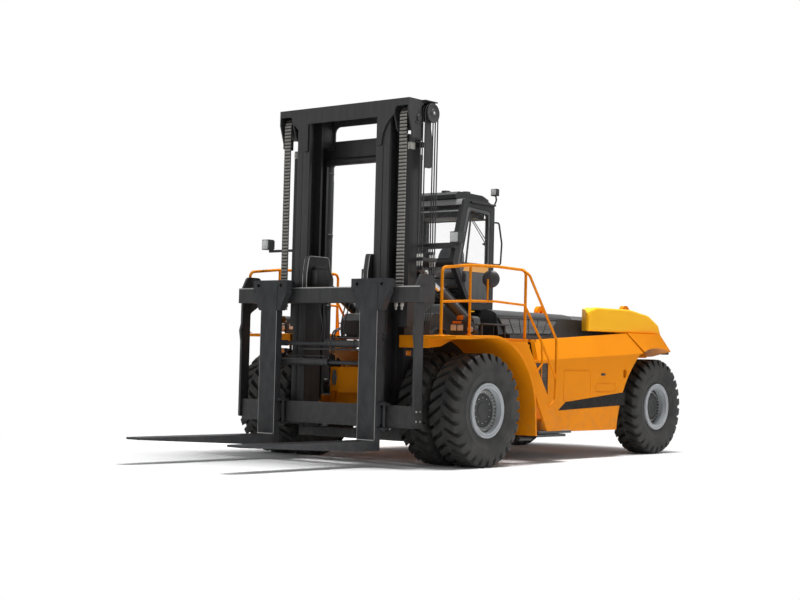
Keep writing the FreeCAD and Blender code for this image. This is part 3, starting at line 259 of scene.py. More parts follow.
def hexagon_head(bm, centre, axis, radius, height):
    """Bolt head: a hexagon with a chamfered top, over a thin washer."""
    add_lathe(bm, [(0.0, 0.0), (radius * 1.25, 0.0), (radius * 1.25, height * 0.15),
                   (radius, height * 0.15)], centre, axis, 12)
    add_lathe(bm, [(radius, height * 0.15), (radius, height * 0.85), (radius * 0.85, height),
                   (0.0, height)], centre, axis, 6)


# ---- helpers for node trees ------------------------------------------------
def linear(code, share=1.0):
    """Linear RGBA of an sRGB hex colour, darkened to a share of its light."""
    values = [int(code[i:i + 2], 16) / 255.0 for i in (1, 3, 5)]
    return tuple(share * (v / 12.92 if v <= 0.04045 else ((v + 0.055) / 1.055) ** 2.4)
                 for v in values) + (1.0,)


def add(tree, kind, inputs=None, stops=(), **settings):
    """Add one node with its settings, its inputs' values or links, and a ramp's stops."""
    made = tree.nodes.new(kind)
    for key, value in settings.items():
        setattr(made, key, value)
    for key, value in (inputs or {}).items():
        if isinstance(value, bpy.types.Node):
            value = value.outputs[0]
        if isinstance(value, bpy.types.NodeSocket):
            tree.links.new(value, made.inputs[key])
        else:
            made.inputs[key].default_value = value
    if stops:
        elements = made.color_ramp.elements
        for element, (position, colour) in zip(list(elements), (stops[0], stops[-1])):
            element.position = position
            element.color = colour
        for position, colour in stops[1:-1]:
            elements.new(position).color = colour
    return made


def new_material(name):
    """Empty material, with its tree and its object coordinates."""
    material = bpy.data.materials.new(name)
    material.use_nodes = True
    tree = material.node_tree
    tree.nodes.clear()
    return material, tree, add(tree, "ShaderNodeTexCoord").outputs["Object"]


def enamel(name, colour, dusty, roughness, peel=0.15, grime=0.35, specular=0.4,
           stretch=(1.0, 1.0, 1.0), shaded_top=None):
    """Sprayed enamel on steel: orange peel, faint fading, and dust that settles low down.

    stretch draws the fading out into streaks, as on plate with its rolling marks, and
    the colour given for tops darkens upward faces: painted shade on the tops.
    shaded_top is the darker colour of upward faces that loads rub.
    """
    material, tree, place = new_material(name)
    drawn = add(tree, "ShaderNodeMapping", {"Vector": place, "Scale": stretch})
    fading = add(tree, "ShaderNodeTexNoise", {"Vector": drawn, "Scale": 1.3, "Detail": 5.0})
    height = add(tree, "ShaderNodeSeparateXYZ", {0: place}).outputs["Z"]
    low = add(tree, "ShaderNodeMapRange", {"Value": height, "From Min": 0.3, "From Max": 1.3,
                                           "To Min": 1.0, "To Max": 0.0})
    speck = add(tree, "ShaderNodeTexNoise", {"Vector": place, "Scale": 9.0, "Detail": 8.0,
                                             "Roughness": 0.7})
    spot = add(tree, "ShaderNodeMapRange", {"Value": speck, "From Min": 0.45,
                                            "From Max": 0.75, "To Max": grime})
    dust = add(tree, "ShaderNodeMath", {0: spot, 1: low}, operation='MULTIPLY')
    tone = add(tree, "ShaderNodeValToRGB", {"Fac": fading},
               ((0.3, linear(colour)), (0.75, linear(dusty))))
    mixed = add(tree, "ShaderNodeMix", {0: dust, 6: tone, 7: linear(DUST)}, data_type='RGBA')
    # Painted shade: upward faces turn to the darker colour for tops.
    if shaded_top:
        normal = add(tree, "ShaderNodeNewGeometry").outputs["Normal"]
        facing = add(tree, "ShaderNodeSeparateXYZ", {0: normal}).outputs["Z"]
        top_shade = add(tree, "ShaderNodeMapRange", {"Value": facing, "From Min": 0.3,
                                                  "From Max": 0.9})
        mixed = add(tree, "ShaderNodeMix", {0: top_shade, 6: mixed.outputs[2],
                                            7: linear(shaded_top)}, data_type='RGBA')
    gloss = add(tree, "ShaderNodeMapRange", {"Value": speck, "To Min": roughness - 0.06,
                                             "To Max": roughness + 0.1})
    fine = add(tree, "ShaderNodeTexNoise", {"Vector": place, "Scale": 260.0, "Detail": 2.0})
    bump = add(tree, "ShaderNodeBump", {"Height": fine, "Strength": peel, "Distance": 0.0006})
    shader = add(tree, "ShaderNodeBsdfPrincipled",
                 {"Base Color": mixed.outputs[2], "Roughness": gloss, "Normal": bump,
                  "Specular IOR Level": specular})
    add(tree, "ShaderNodeOutputMaterial", {"Surface": shader})
    return material


def tyre_rubber():
    """Carbon-black tyre rubber: matt, with a grey bloom of dust in clouds."""
    material, tree, place = new_material("carbon_black_rubber")
    cloud = add(tree, "ShaderNodeTexNoise", {"Vector": place, "Scale": 5.0, "Detail": 6.0})
    tone = add(tree, "ShaderNodeValToRGB", {"Fac": cloud},
               ((0.35, linear("#242424")), (0.7, linear("#383734"))))
    fine = add(tree, "ShaderNodeTexNoise", {"Vector": place, "Scale": 140.0, "Detail": 3.0})
    bump = add(tree, "ShaderNodeBump", {"Height": fine, "Strength": 0.35, "Distance": 0.001})
    shader = add(tree, "ShaderNodeBsdfPrincipled",
                 {"Base Color": tone, "Roughness": 0.72, "Normal": bump,
                  "Specular IOR Level": 0.35})
    add(tree, "ShaderNodeOutputMaterial", {"Surface": shader})
    return material


def leaf_chain_steel():
    """Leaf-chain steel: light grey plates, with painted shade in the gap between links."""
    material, tree, place = new_material("leaf_chain_steel_shaded_gaps")
    height = add(tree, "ShaderNodeSeparateXYZ", {0: place}).outputs["Z"]
    links = add(tree, "ShaderNodeMath", {0: height, 1: CHAIN_PITCH, 2: 0.0}, operation='WRAP')
    across = add(tree, "ShaderNodeMath", {0: links, 1: CHAIN_PITCH}, operation='DIVIDE')
    cloud = add(tree, "ShaderNodeTexNoise", {"Vector": place, "Scale": 14.0, "Detail": 6.0})
    gap_shade = add(tree, "ShaderNodeMath", {0: cloud, 1: 0.3, 2: across}, operation='MULTIPLY_ADD')
    # Painted shade: the colour turns dark at each link's ends, where the links meet.
    tone = add(tree, "ShaderNodeValToRGB", {"Fac": gap_shade},
               ((0.10, linear("#141413")), (0.30, linear("#7C7974")),
                (0.75, linear("#96938D")), (1.0, linear("#1A1918"))))
    shader = add(tree, "ShaderNodeBsdfPrincipled",
                 {"Base Color": tone, "Metallic": 0.55, "Roughness": 0.42})
    add(tree, "ShaderNodeOutputMaterial", {"Surface": shader})
    return material


def bare_metal(name, colour, roughness, streak):
    """Bare metal with fine streaks along X from machining or sliding."""
    material, tree, place = new_material(name)
    stretched = add(tree, "ShaderNodeMapping", {"Vector": place, "Scale": (4.0, 60.0, 60.0)})
    grain = add(tree, "ShaderNodeTexNoise", {"Vector": stretched, "Scale": 3.0, "Detail": 4.0})
    gloss = add(tree, "ShaderNodeMapRange", {"Value": grain, "To Min": roughness - streak,
                                             "To Max": roughness + streak})
    tone = add(tree, "ShaderNodeValToRGB", {"Fac": grain},
               ((0.2, linear(colour, 0.75)), (0.8, linear(colour))))
    shader = add(tree, "ShaderNodeBsdfPrincipled",
                 {"Base Color": tone, "Metallic": 1.0, "Roughness": gloss})
    add(tree, "ShaderNodeOutputMaterial", {"Surface": shader})
    return material


def safety_glass():
    """Toughened cab glass: nearly clear, with a faint film of dust that catches light."""
    material, tree, place = new_material("toughened_cab_glass")
    film = add(tree, "ShaderNodeTexNoise", {"Vector": place, "Scale": 2.0, "Detail": 3.0})
    cover = add(tree, "ShaderNodeMapRange", {"Value": film, "To Min": 0.01, "To Max": 0.04})
    shader = add(tree, "ShaderNodeBsdfPrincipled",
                 {"Base Color": linear("#F4F7F7"), "Roughness": 0.03, "IOR": 1.5,
                  "Alpha": cover})
    add(tree, "ShaderNodeOutputMaterial", {"Surface": shader})
    return material


def lamp_lens(name, colour, clear):
    """Moulded lamp lens with small prisms inside."""
    material, tree, place = new_material(name)
    cells = add(tree, "ShaderNodeTexVoronoi", {"Vector": place, "Scale": 60.0})
    bump = add(tree, "ShaderNodeBump", {"Height": cells, "Strength": 0.6, "Distance": 0.002})
    tone = add(tree, "ShaderNodeValToRGB", {"Fac": cells},
               ((0.0, linear(colour)), (1.0, linear(colour, 0.6))))
    shader = add(tree, "ShaderNodeBsdfPrincipled",
                 {"Base Color": tone, "Roughness": 0.12, "Transmission Weight": clear,
                  "Normal": bump})
    add(tree, "ShaderNodeOutputMaterial", {"Surface": shader})
    return material


def moulded_plastic(name, colour, grain=220.0, dull=0.62, sheen=0.42):
    """Moulded plastic or rubber with a leather-like grain, between two roughnesses."""
    material, tree, place = new_material(name)
    cells = add(tree, "ShaderNodeTexVoronoi", {"Vector": place, "Scale": grain})
    bump = add(tree, "ShaderNodeBump", {"Height": cells, "Strength": 0.4, "Distance": 0.0008})
    cloud = add(tree, "ShaderNodeTexNoise", {"Vector": place, "Scale": 6.0})
    gloss = add(tree, "ShaderNodeMapRange", {"Value": cloud, "To Min": sheen, "To Max": dull})
    shader = add(tree, "ShaderNodeBsdfPrincipled",
                 {"Base Color": linear(colour), "Roughness": gloss, "Normal": bump})
    add(tree, "ShaderNodeOutputMaterial", {"Surface": shader})
    return material


def woven_cloth():
    """Pale grey flat-woven seat cloth; its threads are drawn wide enough to show."""
    material, tree, place = new_material("woven_seat_cloth")
    warp, weft = (add(tree, "ShaderNodeTexWave", {"Vector": place, "Scale": 12.5,
                                                  "Distortion": 0.5}, bands_direction=axis)
                  for axis in "YZ")
    both = add(tree, "ShaderNodeMath", {0: warp.outputs["Fac"], 1: weft.outputs["Fac"]},
               operation='MULTIPLY')
    tone = add(tree, "ShaderNodeValToRGB", {"Fac": both},
               ((0.0, linear("#B4B7BB", 0.6)), (1.0, linear("#B4B7BB"))))
    bump = add(tree, "ShaderNodeBump", {"Height": both, "Strength": 0.5, "Distance": 0.001})
    shader = add(tree, "ShaderNodeBsdfPrincipled",
                 {"Base Color": tone, "Roughness": 0.85, "Sheen Weight": 0.3, "Normal": bump})
    add(tree, "ShaderNodeOutputMaterial", {"Surface": shader})
    return material


def expanded_metal():
    """Grey expanded-metal sheet: openings about 12 mm apart, drawn at 24 mm and painted dark as the
    shade seen through them.
    """
    material, tree, place = new_material("grey_expanded_metal")
    cells = add(tree, "ShaderNodeTexVoronoi", {"Vector": place, "Scale": 42.0, "Randomness": 0.0})
    web = add(tree, "ShaderNodeMapRange", {"Value": cells, "From Min": 0.25, "From Max": 0.45})
    # Painted shade: the openings between the webs are dark.
    tone = add(tree, "ShaderNodeValToRGB", {"Fac": web},
               ((0.0, linear("#151515")), (1.0, linear("#6E6D6B"))))
    bump = add(tree, "ShaderNodeBump", {"Height": web, "Strength": 0.8, "Distance": 0.003})
    shader = add(tree, "ShaderNodeBsdfPrincipled",
                 {"Base Color": tone, "Roughness": 0.5, "Normal": bump})
    add(tree, "ShaderNodeOutputMaterial", {"Surface": shader})
    return material


# ---- Geometry Nodes trees --------------------------------------------------
def repeat_tree(name, round_axis):
    """Copies of the input mesh, turned about Y (round_axis) or set in a row."""
    tree = bpy.data.node_groups.new(name, "GeometryNodeTree")
    tree.interface.new_socket("Geometry", in_out='OUTPUT', socket_type="NodeSocketGeometry")
    for label, kind in (("Geometry", "NodeSocketGeometry"), ("Count", "NodeSocketInt"),
                        ("Step", "NodeSocketVector"), ("Centre", "NodeSocketVector"),
                        ("Material", "NodeSocketMaterial")):
        tree.interface.new_socket(label, in_out='INPUT', socket_type=kind)
    given = add(tree, "NodeGroupInput").outputs
    points = add(tree, "GeometryNodePoints", {"Count": given["Count"]})
    index = add(tree, "GeometryNodeInputIndex")
    step = add(tree, "ShaderNodeVectorMath", {0: given["Step"], "Scale": index},
               operation='SCALE')
    if round_axis:
        copies = add(tree, "GeometryNodeInstanceOnPoints",
                     {"Points": points, "Instance": given["Geometry"], "Rotation": step})
    else:
        moved = add(tree, "GeometryNodeSetPosition", {"Geometry": points, "Position": step})
        copies = add(tree, "GeometryNodeInstanceOnPoints",
                     {"Points": moved, "Instance": given["Geometry"]})
    placed = add(tree, "GeometryNodeTransform", {"Geometry": copies,
                                                 "Translation": given["Centre"]})
    real = add(tree, "GeometryNodeRealizeInstances", {"Geometry": placed})
    merged = add(tree, "GeometryNodeMergeByDistance", {"Geometry": real, "Distance": 1e-5})
    painted = add(tree, "GeometryNodeSetMaterial", {"Geometry": merged,
                                                    "Material": given["Material"]})
    add(tree, "NodeGroupOutput", {"Geometry": painted})
    return tree


def repeated(bm, tree_name, count, step, centre, finish):
    """Mesh made of copies of the bmesh by one of the repeat trees."""
    if tree_name not in TREES:
        TREES[tree_name] = repeat_tree(tree_name, tree_name == "turned_copies")
    tree = TREES[tree_name]
    bmesh.ops.recalc_face_normals(bm, faces=bm.faces)
    obj = mesh_object("source", bm)
    modifier = obj.modifiers.new("copies", 'NODES')
    modifier.node_group = tree
    values = {"Count": count, "Step": step, "Centre": centre, "Material": MATERIALS[finish]}
    for item in tree.interface.items_tree:
        if item.in_out == 'INPUT' and item.name in values:
            modifier[item.identifier] = values[item.name]
    made = evaluated(obj)
    source = obj.data
    bpy.data.objects.remove(obj)
    bpy.data.meshes.remove(source)
    return made


def gather(name, meshes, finish, body="chassis", smooth=SOFT_ANGLE, both=False):
    """One piece from meshes that the repeat trees made."""
    bm = bmesh.new()
    for mesh in meshes:
        bm.from_mesh(mesh)
        bpy.data.meshes.remove(mesh)
    if both:
        mirror_across(bm)
        bmesh.ops.recalc_face_normals(bm, faces=bm.faces)
    for face in bm.faces:
        face.material_index = 0
    return finish_piece(mesh_object(name, bm), finish, body, smooth=smooth)


# ---- settings --------------------------------------------------------------
class FORKLIFT_PG_finishes(bpy.types.PropertyGroup):
    """Colours and gloss of the truck's finishes."""
    body_paint: bpy.props.StringProperty(
        name="Body paint", description="Orange-yellow enamel, sRGB hex", default="#E68A05")
    body_paint_faded: bpy.props.StringProperty(
        name="Faded body paint", description="Where the enamel has faded, sRGB hex",
        default="#DE8306")
    mast_paint: bpy.props.StringProperty(
        name="Mast paint", description="Black enamel of mast and forks, sRGB hex",
        default="#262627")
    rim_paint: bpy.props.StringProperty(
        name="Rim paint", description="Silver-grey rim paint, sRGB hex", default="#A9ADB0")
    cab_paint: bpy.props.StringProperty(
        name="Cab paint", description="Dark cab paint, sRGB hex", default="#1E1F20")


class FORKLIFT_PG_wheels(bpy.types.PropertyGroup):
    """Numbers of the tyres' lugs and the wheels' nuts."""
    lugs: bpy.props.IntProperty(
        name="Lugs", description="Lugs on each half of a tread", default=28, min=12, max=60)
    drive_nuts: bpy.props.IntProperty(
        name="Drive nuts", description="Nuts on a drive wheel", default=32, min=6, max=40)
    steer_nuts: bpy.props.IntProperty(
        name="Steer nuts", description="Nuts on a steered wheel", default=28, min=6, max=40)


class FORKLIFT_PG_studio(bpy.types.PropertyGroup):
    """Camera and lights."""
    lens: bpy.props.FloatProperty(
        name="Lens", description="Focal length on a 36 mm sensor", default=68.85, min=20.0,
        max=300.0, unit='CAMERA')
    key_power: bpy.props.FloatProperty(
        name="Key light", description="Power of the large key light", default=3300.0,
        min=0.0, unit='POWER')
    fill_power: bpy.props.FloatProperty(
        name="Fill light", description="Power of the fill light", default=150.0, min=0.0,
        unit='POWER')


def assign(node, finish):
    """Put a finish on a CAD node."""
    material = MATERIALS[finish]
    mesh = frame["nodes"][node].data
    if not mesh.materials:
        mesh.materials.append(material)
    for index in range(len(mesh.materials)):
        mesh.materials[index] = material


class FORKLIFT_OT_finishes(bpy.types.Operator):
    """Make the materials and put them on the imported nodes."""
    bl_idname = "forklift.finishes"
    bl_label = "Finishes"

    def execute(self, context):
        given = context.scene.forklift_finishes
        m = MATERIALS
        # Orange-yellow body enamel: dull from weather, a shade paler where it has faded.
        m["yellow"] = enamel("satin_yellow_enamel", given.body_paint, given.body_paint_faded,
                             0.50, specular=0.10)
        # The covers on top of the body: clean, with a soft sheen, in a paler yellow than the body as
        # painted light falling on their tops.
        m["pod"] = enamel("pale_yellow_enamel_painted_light", "#FFBE20", "#FFB81A", 0.36, grime=0.0, specular=0.12)
        # Mast and frame: black with upright rolling marks that catch the light.
        m["black"] = enamel("satin_black_enamel", given.mast_paint, "#343435", 0.44,
                            stretch=(9.0, 9.0, 0.7))
        # Cab shell: coarse orange peel, so it looks soft and never mirrors.
        m["charcoal"] = enamel("textured_charcoal_paint", given.cab_paint, "#252627", 0.5, peel=0.4)
        # Cab doors: the same paint in mid grey, which sets them off from the shell.
        m["door"] = enamel("mid_grey_cab_paint", CASE_GREY, "#535557", 0.5, peel=0.3)
        # Outer rim faces: light silver-grey, dusty low down.
        m["silver"] = enamel("silver_grey_wheel_paint", given.rim_paint, "#9A9EA2", 0.38, grime=0.5)
        # Inner rim faces: the silver paint in a darker grey, with dust spots.
        m["rim_inside"] = enamel("darker_grey_wheel_paint", "#6E7073", "#5C5D5E", 0.45, grime=0.6)
        m["rubber"] = tyre_rubber()
        m["chain"] = leaf_chain_steel()
        # Cylinder rods: a bright, tight highlight.
        m["chrome"] = bare_metal("hard_chrome_rod", "#D5D8DA", 0.16, 0.06)
        # Bolts, nuts and fittings: pale metal with a broad highlight.
        m["zinc"] = bare_metal("zinc_plated_steel", "#C9C9C4", 0.34, 0.1)
        m["glass"] = safety_glass()
        m["cloth"] = woven_cloth()
        # Lamp cases, rails and consoles: black with a fine leather grain.
        m["plastic"] = moulded_plastic("moulded_black_plastic", "#1B1B1C")
        # Seals, bellows and mounts: black with a coarser grain.
        m["foot"] = moulded_plastic("vulcanised_rubber", "#161616", 120.0)
        # Hoses: smoother than the other rubber, so each shows a line of light.
        m["hose"] = moulded_plastic("smooth_hose_cover", "#2A2A2B", 400.0, 0.36, 0.24)
        # Battery block: plain mid-grey paint.
        m["case"] = enamel("battery_case_paint", CASE_GREY, "#505254", 0.5)
        m["mesh"] = expanded_metal()
        # Cylinder barrels and castings: very dark grey, a little lighter than the mast.
        m["graphite"] = enamel("dark_cast_steel_paint", "#2E2F30", "#38393A", 0.45)
        # Mast wear pads: off-white and waxy.
        m["pad"] = moulded_plastic("cast_polyamide", "#D8D6CE", 150.0)
        # Visor bands and dashboard: light grey moulding.
        m["band"] = moulded_plastic("light_grey_moulding", "#A3A5A6", 200.0)
        # Side louvres: dark bronze, nearly black in their gaps.
        m["bronze"] = enamel("dark_bronze_louvre_paint", "#3A2A1E", "#463426", 0.5)
        # Side stripe: flat black film without a highlight.
        m["decal"] = enamel("dull_black_film", "#121110", "#191816", 0.6, specular=0.12)
        # Door stripe: pale orange film.
        m["stripe"] = enamel("pale_orange_film", "#F2B566", "#F0AF5C", 0.45)
        # Edges that other parts rub: streaked grey steel, also laid along the tall plates' edges as a
        # painted highlight.
        m["wear_and_edge_highlight"] = bare_metal("bright_steel_wear_and_highlight", "#A9A9A6", 0.42, 0.12)
        # Mirrors: a clean reflection of the studio.
        m["mirror"] = bare_metal("silvered_mirror_glass", "#E6E8E8", 0.04, 0.01)
        # Forks: black enamel scuffed along the blade, darkened on top by painted shade.
        m["fork"] = enamel("scuffed_black_enamel", "#3E3F41", "#4B4C4E", 0.46, specular=0.1,
                           stretch=(0.8, 7.0, 3.0), shaded_top="#1C1C1D")
        # Lamps: white, amber and red lenses that sparkle over their prisms.
        m["clear"] = lamp_lens("clear_polycarbonate_lens", "#F4F6F6", 0.15)
        m["amber"] = lamp_lens("amber_acrylic_lens", "#FF8A12", 0.2)
        m["red"] = lamp_lens("red_acrylic_lens", "#C4170F", 0.2)
        slots = {"yellow_paint": "yellow", "black_paint": "black", "charcoal_paint": "charcoal",
                 "rim_paint": "silver", "tyre_rubber": "rubber", "chain_steel": "chain",
                 "rod_chrome": "chrome", "cab_glazing": "glass", "seat_fabric": "cloth",
                 "black_plastic": "plastic", "foot_rubber": "foot", "hose_rubber": "hose",
                 "battery_case": "case"}
        for row in frame["record"]["subparts"]:
            assign(row["node"], slots[row["material_slot"]])
        for node, finish in (("grilles", "mesh"), ("pods", "pod"), ("lift_cylinders", "graphite")):
            assign(node, finish)
        for side, _ in SIDES:
            assign("fork_" + side, "fork")
            assign("tilt_barrel_" + side, "graphite")
            assign("cab_door_" + side, "door")
        return {'FINISHED'}


class FORKLIFT_OT_tyres(bpy.types.Operator):
    """Make the lugged tyres in place of the plain ones."""
    bl_idname = "forklift.tyres"
    bl_label = "Tyres"

    def execute(self, context):
        lugs = context.scene.forklift_wheels.lugs
        for side, sign in SIDES:
            twins = [tyre_mesh(lugs, (0.0, sign * y, AXLE_Z)) for y in TWINS_Y]
            tyre = gather("drive_tyre_treads_" + side, twins, "rubber", "drive_wheel_" + side, 28.0)
            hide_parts("drive_tyres_" + side)
            single = [tyre_mesh(lugs, (STEER_X, sign * STEER_Y, AXLE_Z))]
            tyre = gather("steer_tyre_tread_" + side, single, "rubber", "steer_wheel_" + side, 28.0)
            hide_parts("steer_tyre_" + side)
        return {'FINISHED'}


def tyre_mesh(lugs, centre):
    """Tyre of equal pitches: slanted lugs staggered between the two halves, plain sidewalls."""
    top = TYRE_RADIUS
    half = TYRE_HALF
    # Each profile runs from the bead out to the tread's middle, as a radius and a distance
    # from the tyre's middle plane.
    wall = [(0.399, half - 0.052), (0.44, half - 0.036), (0.50, half - 0.016),
            (0.545, half - 0.003), (0.552, half), (0.566, half), (0.573, half - 0.004),
            (0.62, half), (0.668, half - 0.002)]
    lug = [(0.715, half - 0.001), (0.772, half - 0.014), (0.806, half - 0.030),
           (0.820, half - 0.052), (top, half - 0.085), (top, 0.12), (top, 0.05), (top, 0.028),
           (top, 0.008)]
    floor = [(0.700, half - 0.008), (0.728, half - 0.026), (0.742, half - 0.045),
             (0.748, half - 0.070), (0.750, half - 0.09), (0.752, 0.12), (0.757, 0.05),
             (0.790, 0.028), (top, 0.008)]
    # A pitch holds one groove in each half of the tread; these are the shares of a pitch
    # where a groove's edges and feet stand.
    shares = (0.0, 0.045, 0.355, 0.40, 0.50, 0.545, 0.855, 0.90, 1.0)
    groove_edge = 0.02
    groove_end = 0.38
    lean = 0.9                # pitches that a lug slants over half the tread
    pitch = 2.0 * math.pi / lugs
    bm = bmesh.new()
    columns = []
    for share in shares:
        column = []
        for half_sign, first in ((1.0, 0.0), (-1.0, 0.5)):
            inside = first + groove_edge < share % 1.0 < first + groove_end
            part = []
            for radius, y in wall + (floor if inside else lug):
                angle = pitch * share + lean * pitch * min(abs(y), half - 0.03) / half
                part.append(bm.verts.new((radius * math.sin(angle), half_sign * y,
                                          radius * math.cos(angle))))
            column += part if half_sign > 0 else list(reversed(part))
        columns.append(column)
    for first, second in zip(columns, columns[1:]):
        for i in range(len(first) - 1):
            bm.faces.new((first[i], first[i + 1], second[i + 1], second[i]))
        bm.faces.new((first[-1], first[0], second[0], second[-1]))
    return repeated(bm, "turned_copies", lugs, (0.0, pitch, 0.0), centre, "rubber")


class FORKLIFT_OT_wheel_centres(bpy.types.Operator):
    """Make the hubs, nuts and rim rings."""
    bl_idname = "forklift.wheel_centres"
    bl_label = "Wheel centres"

    def execute(self, context):
        given = context.scene.forklift_wheels
        for side, sign in SIDES:
            body = "drive_wheel_" + side
            rings = [ring_of_bolts(given.drive_nuts, 0.282, 0.0135, 0.024,
                                   (0.0, sign * 2.042, AXLE_Z), sign),
                     ring_of_bolts(12, 0.185, 0.007, 0.005, (0.0, sign * 2.032, AXLE_Z), sign)]
            gather("drive_wheel_nuts_" + side, rings, "zinc", body)
            hub = (0.0, sign * 1.860, AXLE_Z)
            bm = bmesh.new()
            add_lathe(bm, [(0.0, 0.182), (0.118, 0.182), (0.126, 0.174), (0.236, 0.172),
                           (0.243, 0.165), (0.243, 0.10)], hub, (0, sign, 0))
            piece("drive_hub_cover_" + side, bm, "charcoal", body)
            bm = bmesh.new()
            add_lathe(bm, [(0.3305, 0.10), (0.3305, 0.176), (0.322, 0.182), (0.252, 0.182),
                           (0.246, 0.178), (0.246, 0.10), (0.3305, 0.10)], hub, (0, sign, 0), 64)
            piece("drive_nut_flange_" + side, bm, "rim_inside", body)
            rim_rings("drive_rim_rings_" + side, 0.0, sign * TWINS_Y[0], sign, body)
            body = "steer_wheel_" + side
            face = sign * 1.475
            rings = [ring_of_bolts(given.steer_nuts, 0.245, 0.012, 0.018,
                                   (STEER_X, face + sign * 0.013, AXLE_Z), sign)]
            gather("steer_wheel_nuts_" + side, rings, "zinc", body)
            bm = bmesh.new()
            add_lathe(bm, [(0.320, -0.002), (0.310, 0.006), (0.290, 0.014), (0.212, 0.014),
                           (0.202, 0.040), (0.186, 0.050), (0.128, 0.056), (0.110, 0.050),
                           (0.102, 0.0425), (0.0, 0.0425)],
                      (STEER_X, face, AXLE_Z), (0, sign, 0))
            piece("steer_hub_cover_" + side, bm, "charcoal", body)
            rim_rings("steer_rim_rings_" + side, STEER_X, sign * STEER_Y, sign, body)
        return {'FINISHED'}


def ring_of_bolts(count, ring_radius, radius, height, centre, sign):
    """Wheel nuts on their studs, evenly round a circle about Y."""
    bm = bmesh.new()
    hexagon_head(bm, (0.0, 0.0, ring_radius), (0, sign, 0), radius, height)
    add_lathe(bm, [(radius * 0.45, height), (radius * 0.45, height * 1.5), (0.0, height * 1.6)],
              (0.0, 0.0, ring_radius), (0, sign, 0), 8)
    return repeated(bm, "turned_copies", count, (0.0, 2.0 * math.pi / count, 0.0), centre,
                    "zinc")


def rim_rings(name, x, y, sign, body):
    """Lock ring and flange rings at a rim's outer face."""
    bm = bmesh.new()
    add_lathe(bm, [(0.318, 0.150), (0.327, 0.190), (0.330, 0.205), (0.336, 0.222),
                   (0.348, 0.226), (0.354, 0.214), (0.360, 0.214), (0.366, 0.230),
                   (0.388, 0.233), (0.397, 0.224), (0.3985, 0.200)],
              (x, y, AXLE_Z), (0, sign, 0), 64)
    piece(name, bm, "silver", body)


# ---- chains and hoses ------------------------------------------------------
def chain_link():
    """One pitch of leaf chain about its pin along Y: five packs of rounded plates."""
    bm = bmesh.new()
    half = CHAIN_PITCH / 2.0
    edge = [(-0.011, -0.6 * half), (-0.004, -half), (0.004, -half), (0.011, -0.6 * half),
            (0.011, 0.6 * half), (0.004, half), (-0.004, half), (-0.011, 0.6 * half)]
    pack = CHAIN_WIDTH / 5.0
    for index in range(5):
        y = -CHAIN_WIDTH / 2.0 + index * pack
        add_prism(bm, edge, 1, y + 0.0015, y + pack - 0.0015)
    return bm


class FORKLIFT_OT_chains(bpy.types.Operator):
    """Make the lift chains link by link, over their sheaves, and the hoses' bends."""
    bl_idname = "forklift.chains"
    bl_label = "Chains and hoses"

    def execute(self, context):
        x, z = SHEAVE
        meshes = []
        # 50 links hang before the sheave and 6 behind it; the half turn over it takes 11.
        for count, sign in ((50, 1.0), (6, -1.0)):
            start = (x + sign * CHAIN_RADIUS, CHAIN_Y, z - CHAIN_PITCH / 2.0)
            meshes.append(repeated(chain_link(), "row_copies", count, (0.0, 0.0, -CHAIN_PITCH),
                                   start, "chain"))
        bm = chain_link()
        bmesh.ops.translate(bm, vec=(CHAIN_RADIUS, 0.0, 0.0), verts=bm.verts)
        bmesh.ops.rotate(bm, cent=(0, 0, 0), verts=bm.verts,
                         matrix=Matrix.Rotation(-math.pi / 22.0, 3, 'Y'))
        meshes.append(repeated(bm, "turned_copies", 11, (0.0, -math.pi / 11.0, 0.0),
                               (x, CHAIN_Y, z), "chain"))
        chain = gather("lift_chains", meshes, "chain", "inner_mast", both=True)
        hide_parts("chains_front", "chains_rear")
        bm = bmesh.new()
        for y in HOSES_Y:
            bend = [(HOSE_SHEAVE[0] + 0.147 * math.cos(a), y, HOSE_SHEAVE[1] + 0.147 * math.sin(a))
                    for a in (math.pi * i / 16.0 for i in range(17))]
            add_tube(bm, bend, 0.010, 12, 0.004)
        piece("hose_bends", bm, "hose", "inner_mast")
        bm = bmesh.new()
        for y in HOSES_Y:
            for hose_x in (0.293, 0.587):
                add_lathe(bm, [(0.0, 0.0), (0.014, 0.0), (0.016, 0.006), (0.016, 0.030),
                               (0.012, 0.034), (0.012, 0.055), (0.0, 0.055)],
                          (hose_x, y, 3.008), (0, 0, 1), 6)
                add_lathe(bm, [(0.0, 0.0), (0.015, 0.0), (0.015, 0.028), (0.011, 0.032),
                               (0.011, 0.075), (0.0, 0.075)], (hose_x, y, 2.962), (0, 0, -1), 6)
        piece("hose_fittings", bm, "zinc", "outer_mast")
        bm = bmesh.new()
        for y in HOSES_Y:
            add_tube(bm, [(0.293, y, 2.90), (0.293, y, 2.70), (0.262, y - 0.05, 2.55),
                          (0.262, y - 0.10, 1.75)], 0.010, 10, 0.12)
            add_tube(bm, [(0.587, y, 2.90), (0.587, y, 2.83), (0.47, y - 0.02, 2.80),
                          (0.35, y - 0.04, 2.72), (0.262, y - 0.075, 2.50)], 0.010, 10, 0.06)
        piece("mast_foot_hoses", bm, "hose", "outer_mast")
        return {'FINISHED'}


